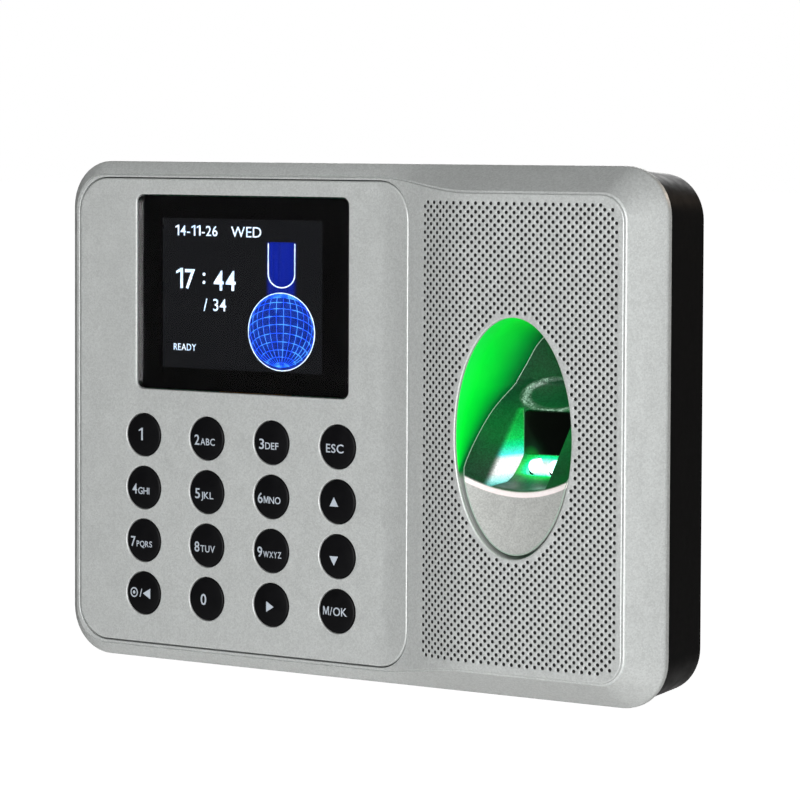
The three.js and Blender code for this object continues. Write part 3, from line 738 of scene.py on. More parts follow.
@dataclass(frozen=True)
class LitPaint(MetallicPaint):
    """Silver paint on the finger rest, with painted green shade and painted green lamp light behind the ridge
    and painted highlights on its crest and the dish rim.
    """

    lamps: tuple[Point, ...] = ()
    oval: Oval = FINGER_OPENING
    ridge: Flat = (RIDGE_Z, RIDGE_SAG)
    pocket_half: float = POCKET_HALF
    dish: Oval = DISH
    # Painted shade: the dark green base colour behind the ridge.
    shade: Colour = (0.006, 0.032, 0.016)

    def past_ridge(self, bench: Bench, x: Socket, z: Socket) -> Socket:
        """How far above the ridge a point is, in metres."""
        end, sag = self.ridge
        across = bench.math("DIVIDE", bench.math("SUBTRACT", x, self.oval.x * MM), self.oval.a * MM)
        bow = bench.math("MULTIPLY", bench.math("MULTIPLY", across, across), sag * MM)
        line = bench.math("ADD", bow, (end - sag) * MM)
        return bench.math("SUBTRACT", z, line)

    def dish_highlight_share(self, bench: Bench, x: Socket, z: Socket) -> Socket:
        """The share of painted highlight: 1 on the rim of the dish above the sensor window, falling to 0 off
        it.
        """
        u = bench.math("DIVIDE", bench.math("SUBTRACT", x, self.dish.x * MM), self.dish.a * MM)
        w = bench.math("DIVIDE", bench.math("SUBTRACT", z, self.dish.z * MM), self.dish.b * MM)
        squares = bench.math("ADD", bench.math("MULTIPLY", u, u), bench.math("MULTIPLY", w, w))
        radius = bench.math("SQRT", squares)
        return bench.span(bench.math("ABSOLUTE", bench.math("SUBTRACT", radius, 0.97)), 0.0, 0.2, 1.0, 0.0)

    def flank_light_share(self, bench: Bench, x: Socket, z: Socket) -> Socket:
        """The share of painted lamp light: 1 on the left wall of the sensor pocket, with a soft painted glow
        beside it.
        """
        off = bench.math("SUBTRACT", (self.oval.x - self.pocket_half) * MM, x)
        outside = bench.math("POWER", bench.span(off, 0.1 * MM, 2.6 * MM, 1.0, 0.0), 2.5)
        wall = bench.math("MULTIPLY", outside, bench.span(off, -0.45 * MM, -0.25 * MM))
        top, foot = bench.span(z, 5.4 * MM, 4.6 * MM), bench.span(z, -13.0 * MM, -11.2 * MM)
        ends = bench.math("MULTIPLY", top, foot)
        return bench.math("MULTIPLY", wall, ends)

    def lamp_glow(self, bench: Bench, x: Socket, y: Socket, z: Socket) -> Socket:
        """How strongly the painted light of the lamps falls on a point, mostly inside the pocket."""
        off = bench.math("ABSOLUTE", bench.math("SUBTRACT", x, self.oval.x * MM))
        near_pocket = bench.span(off, (self.pocket_half - 0.3) * MM, (self.pocket_half + 0.6) * MM, 1.0, 0.3)
        glow = bench.span(z, 14.0 * MM, 2.0 * MM, 0.03, 0.17)
        for lamp in self.lamps:
            spot = bench.math("POWER", bench.near(lamp, 9.0), 1.5)
            held = bench.math("MULTIPLY", spot, near_pocket)
            glow = bench.math("ADD", glow, bench.math("MULTIPLY", held, 0.62))
        down, up = bench.span(y, -25.0 * MM, -17.0 * MM), bench.span(z, -10.6 * MM, -9.8 * MM, 0.6, 1.0)
        deep = bench.math("MULTIPLY", down, up)
        return bench.math("MULTIPLY", glow, bench.math("ADD", bench.math("MULTIPLY", deep, 0.85), 0.15))

    def dress(self, bench: Bench) -> None:
        """Builds the nodes."""
        super().dress(bench)
        x, y, z = bench.axes()
        past = self.past_ridge(bench, x, z)
        behind = bench.span(past, 0.05 * MM, 0.5 * MM)
        rising = bench.span(past, -1.2 * MM, -0.9 * MM)
        # crest: a band along the ridge's crest that gets a painted highlight, a paler base colour and a faint
        # warm glow.
        crest = bench.math("MULTIPLY", rising, bench.span(past, 0.0 * MM, 0.3 * MM, 1.0, 0.0))
        grains = bench.flakes(self.flake)
        light, dim = (tuple(c * k for c in self.colour) for k in (1.25, 0.78))
        silver = bench.mix(0.6, self.tones(bench), bench.mix(grains, dim, light))
        # Behind the ridge the base colour goes from silver to flecked dark green: painted green shade.
        pale, deep = (tuple(c * k for c in self.shade) for k in (1.6, 0.5))
        paint = bench.mix(behind, silver, bench.mix(grains, deep, pale))
        bench.set(Base_Color=bench.mix(crest, paint, (0.9, 0.84, 0.83)))
        bench.set(Metallic=bench.span(behind, 0.0, 1.0, self.metallic, 0.1))
        # The colours of the painted lamp light: near black where little falls, then green, then white where
        # most falls.
        stops = [
            (0.0, (0.0, 0.004, 0.001)), (0.12, (0.0, 0.03, 0.008)), (0.3, (0.0, 0.17, 0.02)),
            (0.5, (0.0, 0.66, 0.06)), (0.68, (0.0, 0.95, 0.45)), (0.8, (0.35, 1.0, 0.9)),
            (0.95, (1.0, 1.0, 1.0)),
        ]
        lit = bench.ramp(self.lamp_glow(bench, x, y, z), stops)
        # Painted lamp light on the pocket's left wall: cyan at its foot, white just above, then ever darker
        # green towards its top.
        wall = [
            (0.0, (0.1, 0.9, 0.85)), (0.12, (1.0, 1.0, 1.0)), (0.34, (1.0, 1.0, 1.0)),
            (0.42, (0.1, 1.0, 0.92)), (0.58, (0.0, 0.8, 0.3)), (0.72, (0.0, 0.62, 0.09)),
            (1.0, (0.0, 0.3, 0.03)),
        ]
        flank = bench.ramp(bench.span(z, -13.5 * MM, 4.5 * MM), wall)
        lit = bench.mix(self.flank_light_share(bench, x, z), lit, flank)
        # Painted highlight: pale silver-green glints along the dish rim, broken up by the flakes and soft
        # noise.
        shine = bench.math("MULTIPLY", self.dish_highlight_share(bench, x, z), bench.span(grains, 0.0, 1.0, 0.25, 1.0))
        sheen = bench.span(bench.noise(2.2, 2.0), 0.35, 0.62, 0.25, 1.0)
        lit = bench.mix(bench.math("MULTIPLY", shine, sheen), lit, (0.34, 0.52, 0.4))
        lit = bench.mix(behind, (0.0, 0.0, 0.0), lit)
        # Painted highlight: a faint warm glow along the crest.
        lit = bench.mix(crest, lit, (0.14, 0.11, 0.11))
        bench.set(Emission_Color=lit, Emission_Strength=bench.span(grains, 0.0, 1.0, 0.85, 1.2))


@dataclass(frozen=True)
class DarkPane(Finish):
    """A black pane with a little painted green light in its lower left corner."""

    corner: Point = (45.9, -12.6, -6.2)
    reach: float = 6.5

    def dress(self, bench: Bench) -> None:
        """Builds the nodes."""
        super().dress(bench)
        # Painted light: a green glow that grows towards the lower left corner.
        glow = bench.math("POWER", bench.near(self.corner, self.reach), 2.0)
        stops = [(0.0, (0.0005, 0.001, 0.0005)), (0.4, (0.0, 0.012, 0.001)), (1.0, (0.0, 0.2, 0.01))]
        bench.set(Emission_Color=bench.ramp(glow, stops), Emission_Strength=1.0)


@dataclass(frozen=True)
class GreenWall(Finish):
    """Lit green plastic above the ridge, fading towards its foot, and plain grey below the ridge."""

    strength: float = 1.0
    face_y: float = -28.4
    foot: tuple[float, float] = (10.5, 20.5)

    def dress(self, bench: Bench) -> None:
        """Builds the nodes."""
        super().dress(bench)
        _, y, z = bench.axes()
        depth = bench.math("SUBTRACT", y, self.face_y * MM)
        lead, most = self.foot
        foot = bench.math("MINIMUM", bench.math("ADD", z, lead * MM), most * MM)
        share = bench.math("DIVIDE", depth, bench.math("MAXIMUM", foot, 1.0 * MM))
        stops = [
            (0.0, (0.01, 0.8, 0.06)), (0.3, (0.0, 0.82, 0.02)), (0.62, (0.0, 0.5, 0.015)),
            (0.85, (0.0, 0.2, 0.012)), (0.97, (0.0, 0.05, 0.006)), (1.0, (0.0, 0.02, 0.004)),
        ]
        lit = bench.span(z, -11.5 * MM, -9.0 * MM)
        top = bench.span(z, 8.0 * MM, 30.0 * MM, 1.0, 0.72)
        power = bench.math("MULTIPLY", bench.math("MULTIPLY", lit, top), self.strength)
        soft = bench.span(bench.noise(5.0, 2.0), 0.2, 0.8, 0.95, 1.05)
        bench.set(Base_Color=bench.mix(lit, (0.3, 0.31, 0.3), self.tones(bench)))
        strength = bench.math("MULTIPLY", power, soft)
        bench.set(Emission_Color=bench.ramp(share, stops), Emission_Strength=strength)


@dataclass(frozen=True)
class Acrylic(Finish):
    """Clear plastic or glass."""

    ior: float = 1.2

    def dress(self, bench: Bench) -> None:
        """Builds the nodes."""
        tint = bench.mix(bench.noise(self.mottle_size), self.colour, tuple(c * 0.98 for c in self.colour))
        bench.set(Base_Color=tint, Transmission_Weight=1.0, IOR=self.ior, Specular_IOR_Level=self.gloss)
        bench.set(Roughness=bench.span(bench.noise(4.0), 0.3, 0.7, self.roughness * 0.5, self.roughness))
        bench.bump(bench.noise(self.relief_size), self.relief)


@dataclass(frozen=True)
class LitScreen(Finish):
    """A dim lit screen with fine dot rows and a soft beam of blue light."""

    beam: tuple[float, float, float, float] = (-25.6, -17.0, 27.0, 42.6)
    row_pitch: float = 0.15

    def dress(self, bench: Bench) -> None:
        """Builds the nodes."""
        super().dress(bench)
        x, _, z = bench.axes()
        x0, x1, z0, z1 = (v * MM for v in self.beam)
        left = bench.span(x, x0 - 0.6 * MM, x0 + 1.2 * MM)
        right = bench.span(x, x1 - 1.2 * MM, x1 + 0.6 * MM, 1.0, 0.0)
        across = bench.math("MULTIPLY", left, right)
        foot, top = bench.span(z, z0 - 6 * MM, z0 + 8 * MM), bench.span(z, z1 - 0.1 * MM, z1, 1.0, 0.0)
        along = bench.math("MULTIPLY", foot, top)
        light = bench.math("MULTIPLY", across, along)
        streak = bench.span(bench.noise(0.8, 1.0, (1.0, 1.0, 0.05)), 0.3, 0.7, 0.7, 1.0)
        wave = bench.math("SINE", bench.math("MULTIPLY", z, 2 * math.pi / (self.row_pitch * MM)))
        rows = bench.span(wave, -1.0, 1.0, 0.9, 1.0)
        share = bench.math("MULTIPLY", light, streak)
        colour = bench.mix(share, (0.0085, 0.009, 0.0105), (0.004, 0.02, 0.42))
        bench.set(Emission_Color=colour, Emission_Strength=rows)


@dataclass(frozen=True)
class Glow(Finish):
    """A lit line or figure."""

    strength: float = 1.0
    second: Colour = (1.0, 1.0, 1.0)

    def dress(self, bench: Bench) -> None:
        """Builds the nodes."""
        super().dress(bench)
        tone = bench.mix(bench.span(bench.noise(2.2, 1.0), 0.42, 0.62), self.colour, self.second)
        bench.set(Emission_Color=tone, Emission_Strength=self.strength)


@dataclass(frozen=True)
class FloorPaint(Finish):
    """Pale floor paint that goes over into a bright background all round the terminal."""

    bright_from: Flat = (0.7, 1.6)

    def dress(self, bench: Bench) -> None:
        """Builds the nodes."""
        super().dress(bench)
        x, y, _ = bench.axes()
        squares = bench.math("ADD", bench.math("MULTIPLY", x, x), bench.math("MULTIPLY", y, y))
        away = bench.math("SQRT", squares)
        seen = bench.tree.nodes.new("ShaderNodeLightPath").outputs["Is Camera Ray"]
        glow = bench.span(away, *self.bright_from, 0.0, 1.0)
        strength = bench.math("MULTIPLY", glow, seen)
        bench.set(Emission_Color=(1.0, 1.0, 1.0), Emission_Strength=strength)


@dataclass(frozen=True)
class Circuit(Finish):
    """Solder mask over copper tracks, with plated spots."""

    def dress(self, bench: Bench) -> None:
        """Builds the nodes."""
        super().dress(bench)
        x, _, z = bench.axes()
        pitch = 2 * math.pi / (2.2 * MM)
        turn = bench.math("MULTIPLY", bench.noise(9.0, 0.0), 5.0)
        lines = bench.math("SINE", bench.math("ADD", bench.math("MULTIPLY", x, pitch), turn))
        others = bench.math("SINE", bench.math("MULTIPLY", z, pitch))
        tracks = bench.span(bench.math("MAXIMUM", lines, others), 0.86, 0.97)
        pads = bench.span(bench.math("MULTIPLY", lines, others), 0.93, 0.98)
        green = bench.mix(tracks, self.tones(bench), tuple(c * 1.7 for c in self.colour))
        bench.set(Base_Color=bench.mix(pads, green, (0.72, 0.7, 0.62)), Metallic=pads)
        bench.bump(tracks, 0.03)


SILVER = MetallicPaint(
    "silver_paint", (0.56, 0.58, 0.57), 0.42, 0.35, relief=0.006, relief_size=0.35, mottle=0.03
)
# Painted shade: near black on the floors and deep walls of the dimples, for the shade inside them.
DIMPLE_PAINTED_SHADE = Finish("dimple_shade", (0.012, 0.012, 0.012), 0.8)
# Painted shade: dark grey for the keypad pocket's floor and walls and for the back of the skin.
POCKET_PAINTED_SHADE = Finish("pocket_shade", (0.05, 0.05, 0.05), 0.7)
SHELL_BLACK = Finish("shell_black", (0.0065, 0.0063, 0.0063), 0.42, gloss=0.06, relief=0.01, relief_size=0.25)
KEY_BLACK = Finish("key_black", (0.003, 0.003, 0.0036), 0.45, gloss=0.12, relief=0.003, relief_size=0.2)
LEGEND_GREY = Finish("legend_print", (0.44, 0.49, 0.55), 0.5, grain=0.04)
WINDOW_CLEAR = Acrylic("window_acrylic", (0.96, 0.96, 0.97), 0.02, gloss=0.08, relief=0.0005, relief_size=3.0)
MASK_BLACK = Finish("window_print", (0.0008, 0.0008, 0.0008), 0.6, gloss=0.1)
SCREEN = LitScreen("lcd_glass", (0.002, 0.002, 0.002), 0.4, gloss=0.1)
WHITE_FIGURES = Glow("screen_white", (0.55, 0.72, 0.92), 0.5, strength=0.95, second=(0.92, 0.97, 1.0))
BLUE_LINES = Glow("screen_blue", (0.004, 0.09, 0.95), 0.5, strength=1.0, second=(0.12, 0.55, 1.0))
BLUE_DEEP = Glow("screen_deep_blue", (0.001, 0.012, 0.16), 0.5, strength=1.0, second=(0.002, 0.03, 0.32))
RING_GREEN = GreenWall("light_guide_green", (0.0, 0.2, 0.03), 0.35, strength=1.0, gloss=0.3)
SENSOR_BLACK = DarkPane("sensor_glass", (0.001, 0.001, 0.001), 0.2, gloss=0.12, relief=0.0003)
# Painted highlight: a faintly glowing silver-green line along the finger rest's edge.
GUIDE_EDGE_HIGHLIGHT = Glow("guide_edge_highlight", (0.3, 0.42, 0.34), 0.35, strength=0.12, second=(0.5, 0.62, 0.54))
LAMP = Glow("lamp_lens", (0.45, 1.0, 0.8), 0.2, strength=2.0, second=(1.0, 1.0, 1.0))
PRISM = Acrylic("prism_glass", (0.9, 0.98, 0.95), 0.02, ior=1.52, relief=0.0)
FOAM = Finish("foam_seal", (0.03, 0.03, 0.03), 0.95, relief=0.08, relief_size=0.4)
SILICONE = Finish("silicone", (0.32, 0.32, 0.33), 0.6, relief=0.01)
BOARD = Circuit("circuit_board", (0.012, 0.1, 0.045), 0.4, coat=0.3)
PART_BLACK = Finish("component_black", (0.014, 0.014, 0.015), 0.5, relief=0.01)
NYLON = Finish("connector_white", (0.72, 0.7, 0.64), 0.45, relief=0.008, relief_size=0.5)
CELL_STEEL = Finish("battery_steel", (0.55, 0.55, 0.54), 0.28, 1.0, grain=0.1, stretch=(1.0, 1.0, 0.08))
FILM = Finish(
    "flex_film", (0.36, 0.15, 0.02), 0.3, coat=0.4, stretch=(1.0, 1.0, 0.1), grain=0.25, grain_size=0.5
)
BRIGHT_STEEL = Finish("steel_bright", (0.6, 0.6, 0.6), 0.3, 1.0, stretch=(0.05, 1.0, 1.0), grain=0.12)
ZINC = Finish(
    "steel_zinc", (0.5, 0.52, 0.54), 0.38, 1.0, mottle=0.22, mottle_size=5.0, relief=0.01, relief_size=1.5
)
OXIDE = Finish("screw_black", (0.012, 0.012, 0.013), 0.34, 0.6, relief=0.01)


# ---- lettering -----------------------------------------------------------------------------

CAP_SHARE = 0.729
OWN_LETTERS: dict[str, tuple[Flat, ...]] = {
    "1": ((0.22, 0), (0.34, 0), (0.34, 0.729), (0.25, 0.729), (0.02, 0.61), (0.02, 0.52), (0.22, 0.6)),
    "M": (
        (0, 0), (0.09, 0), (0.09, 0.53), (0.29, 0.05), (0.38, 0.05), (0.58, 0.53), (0.58, 0),
        (0.67, 0), (0.67, 0.729), (0.53, 0.729), (0.335, 0.24), (0.14, 0.729), (0, 0.729),
    ),
}


@cache
def letter_shape(letter: str, bold: float) -> tuple[tuple[Point, ...], tuple[tuple[int, ...], ...]]:
    """One letter's corners and faces, a unit high line of text apart, with its left end at 0.

    Args:
        letter: the letter or figure.
        bold: how far its strokes are widened.

    Returns:
        The corners, with z above 0 at the front, and the faces.
    """
    if letter in OWN_LETTERS:
        outline = OWN_LETTERS[letter]
        count = len(outline)
        corners = [(x, y, 0.01) for x, y in outline] + [(x, y, -0.01) for x, y in outline]
        sides = [(i, (i + 1) % count, (i + 1) % count + count, i + count) for i in range(count)]
        return tuple(corners), (tuple(range(count)), tuple(range(2 * count - 1, count - 1, -1)), *sides)
    curve = bpy.data.curves.new("letters", "FONT")
    curve.body, curve.size, curve.extrude = letter, 1.0, 0.01
    curve.offset, curve.resolution_u = bold, 4
    holder = bpy.data.objects.new("letters", curve)
    bpy.context.scene.collection.objects.link(holder)
    bpy.context.view_layer.update()
    mesh = bpy.data.meshes.new_from_object(holder.evaluated_get(bpy.context.evaluated_depsgraph_get()))
    work = bmesh.new()
    work.from_mesh(mesh)
    bmesh.ops.remove_doubles(work, verts=work.verts, dist=1e-6)
    work.verts.index_update()
    left = min(v.co.x for v in work.verts)
    corners = [(v.co.x - left, v.co.y, v.co.z) for v in work.verts]
    faces = [tuple(v.index for v in found.verts) for found in work.faces]
    work.free()
    bpy.data.objects.remove(holder)
    bpy.data.meshes.remove(mesh)
    bpy.data.curves.remove(curve)
    return tuple(corners), tuple(faces)


@dataclass(frozen=True)
class Words:
    """A run of plain letters or figures: its left end, its base line, its height and its width."""

    text: str
    x: float
    z: float
    height: float
    width: float
    bold: float = 0.0
    spacing: float = 0.1

    def lay(self, maker: MeshMaker, at: Flat, front: Height, thick: float) -> None:
        """Adds the letters to a mesh, laid on a surface.

        Args:
            maker: the mesh.
            at: the (x, z) that the left end and base line are counted from.
            front: the letters' front surface.
            thick: how far the letters reach back from it.
        """
        shapes = [letter_shape(letter, self.bold) for letter in self.text]
        wide = [max(x for x, _, _ in corners) for corners, _ in shapes]
        total = sum(wide) + self.spacing * (len(wide) - 1)
        rise, stretch = self.height / CAP_SHARE, self.width / total
        start = 0.0
        for (corners, faces), step in zip(shapes, wide):
            placed = []
            for u, v, w in corners:
                x, z = at[0] + self.x + (start + u) * stretch, at[1] + self.z + v * rise
                placed.append((x, front(x, z) + (thick if w < 0 else 0.0), z))
            numbers = maker.add(placed)
            for found in faces:
                maker.face([numbers[i] for i in found])
            start += step + self.spacing


# ---- sub-assemblies ------------------------------------------------------------------------

@dataclass
class FrontHousing:
    """The silver front: a raised, dimpled finger side, sloping edges, a straight rim and a panel pocket."""

    half_w: float = 87.0
    half_h: float = 61.8
    rim_r: float = 11.5
    joint_y: float = -18.0
    rim_y: float = -19.6
    face_x: Flat = (-83.8, 80.6)
    corner_r: Flat = (8.6, 6.2)
    lip: float = 0.3
    pocket_lip: float = 0.15
    skin: float = 2.0
    ring_ledge: float = 0.75
    pocket_gap: float = 0.3
    pocket_depth: float = 1.9
    dot_pitch: Flat = (1.06, 1.0)
    dot_x: Flat = (24.5, 78.7)
    dot_r: float = 0.43
    dot_rim: float = 0.66
    dot_depth: float = 0.75
    dot_margin: float = 2.1
    dot_corner: Flat = (74.4, 49.1)
    dot_corner_r: float = 4.3
    dot_clear: float = 1.12
    sill_outline: RoundedRect = RoundedRect(-71.5, 11.5, -54.0, 54.0, 3.0)

    def face_outline(self) -> Mirrored:
        """The outline of the face."""
        return Mirrored(*self.face_x, FACE.half, *self.corner_r, FACE.xs(-99, 99))

    def rim_outline(self) -> Mirrored:
        """The outline of the straight rim."""
        half, r = self.half_w, self.rim_r
        return Mirrored(-half, half, lambda x: self.half_h, r, r, FACE.xs(-99, 99))

    def dots(self) -> list[Flat]:
        """The centres of the dimples: a staggered grid that keeps clear of the edges and the opening."""
        step_x, step_z = self.dot_pitch
        corner_x, corner_z = self.dot_corner
        columns = int((self.dot_x[1] - self.dot_x[0]) / step_x)
        found = []
        for i in range(columns + 1):
            x = self.dot_x[0] + i * step_x
            rows = int((FACE.half(x) - self.dot_margin) / step_z)
            for j in range(-rows, rows + 1):
                z = j * step_z
                corner = math.hypot(max(0.0, x - corner_x), max(0.0, abs(z) - corner_z))
                clear = corner < self.dot_corner_r and not FINGER_OPENING.holds(x, z, self.dot_clear)
                if (i + j) % 2 == 0 and clear:
                    found.append((x, z))
        return found

    def build(self) -> None:
        """Builds and dresses the housing."""
        maker = MeshMaker()
        face, rim = self.face_outline(), self.rim_outline()
        front = FACE.depth
        lip = [maker.loop(face.points(-i), lambda x, z: front(x) + d) for i, d in fillet(self.lip)]
        edge, border = face.points(), rim.points()
        slope = [maker.add([
            (lerp(x0, x1, t), lerp(front(x0), self.rim_y, t) + sink, lerp(z0, z1, t))
            for (x0, z0), (x1, z1) in zip(edge, border)
        ]) for t, sink in ((0.015, 0.62), (0.05, 0.42), (0.09, 0.1), (0.35, 0.0), (0.65, 0.0), (0.955, 0.0))]
        sides = [maker.loop(rim.points(-i), level(self.rim_y + d)) for i, d in ((0.08, 0.1), (0.0, 0.32))]
        sides.append(maker.loop(rim.points(), level(self.joint_y - 0.25)))
        sides.append(maker.loop(rim.points(-0.2), level(self.joint_y)))
        sides.append(maker.loop(rim.points(-3.3), level(self.joint_y)))
        hollow = self.inner_surface()
        sides.append(maker.add([(x, min(self.joint_y - 0.4, hollow(x, z)), z) for x, z in face.points(-2.8)]))
        maker.walls([*lip, *slope, *sides])
        pocket = PANEL_OUTLINE
        well = []
        for i, d in fillet(self.pocket_lip):
            well.append(maker.loop(pocket.points(self.pocket_gap + i), lambda x, z: front(x) + d))
        well.append(maker.loop(pocket.points(self.pocket_gap), FACE.behind(self.pocket_depth)))
        ledge = self.sill_outline.points()
        sill = [maker.loop(ledge, FACE.behind(self.pocket_depth)), maker.loop(ledge, hollow)]
        maker.walls(well, 0)
        # Mark 1 paints the sill walls, the pocket floor and, further on, the back of the skin dark grey:
        # painted shade in the pocket.
        maker.wall(*sill, 1)
        maker.sheet(well[-1], [sill[0]], FACE.behind(self.pocket_depth), mark=1)
        oval = FINGER_OPENING
        ring = [maker.loop(oval.points(i), lambda x, z: front(x) + d) for i, d in fillet(0.4)]
        ring.append(maker.loop(oval.points(), FACE.behind(self.ring_ledge)))
        ring.append(maker.loop(oval.points(1.8), FACE.behind(self.ring_ledge)))
        ring.append(maker.loop(oval.points(1.8), hollow))
        maker.walls(ring)
        through = [(x, z) for x in (19.5, 22.5) for z in spread(-50, 50, 5)]
        maker.sheet(sides[-1], [sill[1], ring[-1]], hollow, through, 1)
        holes = [well[0], ring[0]]
        for x, z in self.dots():
            holes.append(self.dimple(maker, x, z))
        maker.sheet(lip[0], holes, front, [(x, z) for x in (20.2, 21.4, 22.6) for z in spread(-54, 54, 2)])
        for node in CASE_SCREWS:
            self.boss(maker, *NodeBox.of(node).middle[::2])
        piece = maker.piece("front_housing", (SILVER, POCKET_PAINTED_SHADE, DIMPLE_PAINTED_SHADE), weighted=True)
        Seat(CASE, "silver_paint", ("front_bezel",)).take(piece)

    def inner_surface(self) -> Height:
        """The back of the skin: flat behind the keypad, following the face behind the finger side."""
        def depth(x: float, z: float) -> float:
            """The Y of the skin's back."""
            return lerp(self.joint_y - 0.6, FACE.depth(x) + self.skin, smoothstep(x, 19.4, 22.6))
        return depth

    def dimple(self, maker: MeshMaker, x: float, z: float) -> Loop:
        """Adds one dimple and gives its outer loop."""
        r = self.dot_r
        steps = (self.dot_rim, 0.0), (r + 0.06, 0.07), (r, 0.2), (r * 0.9, self.dot_depth)
        loops = [maker.loop(Oval(x, z, at, at, 12).points(), FACE.behind(drop)) for at, drop in steps]
        maker.walls(loops[:3])
        # Mark 2 paints the deep wall and the floor near black: painted shade inside the dimple.
        maker.wall(loops[2], loops[3], 2)
        maker.face(loops[3], 2)
        return loops[0]

    def boss(self, maker: MeshMaker, x: float, z: float) -> None:
        """Adds a screw post behind the skin."""
        top = FACE.depth(x) + self.skin + 0.05 if x > 0 else self.joint_y + 0.05
        bore = SCREW_CLEAR_R
        profile = [(bore, top), (bore, -6.2), (2.0, -6.0), (3.4, -6.0), (3.6, -6.2), (3.6, top)]
        Lathe((x, 0.0, z), profile, 32, closed=True).build(maker)


PANEL_OUTLINE = Mirrored(-82.8, 18.6, lambda x: 57.6, 8.6, 9.4, FACE.xs(-99, 9.0))


class Arrow(Enum):
    """The way a legend's arrow points, as a turn in degrees."""

    UP = 90
    DOWN = 270
    LEFT = 180
    RIGHT = 0


@dataclass(frozen=True)
class Key:
    """One key: its CAD node, its words and its arrow."""

    node: str
    words: tuple[Words, ...] = ()
    arrow: Arrow | None = None
    arrow_at: Flat = (0.0, 0.0)
    ring_at: Flat | None = None


def letter_key(digit: str, letters: str, left: float, wide: float, high: float = 1.75) -> Key:
    """A key with a figure and its small telephone letters.

    Args:
        digit: the figure.
        letters: the letters after it.
        left: the figure's left end from the key's centre.
        wide: the letters' width.
        high: the letters' height.
    """
    words = Words(digit, left, -1.75, 2.6, 1.6, 0.008), Words(letters, left + 1.95, -1.75, high, wide, 0.006)
    return Key(f"key_{digit}", words)


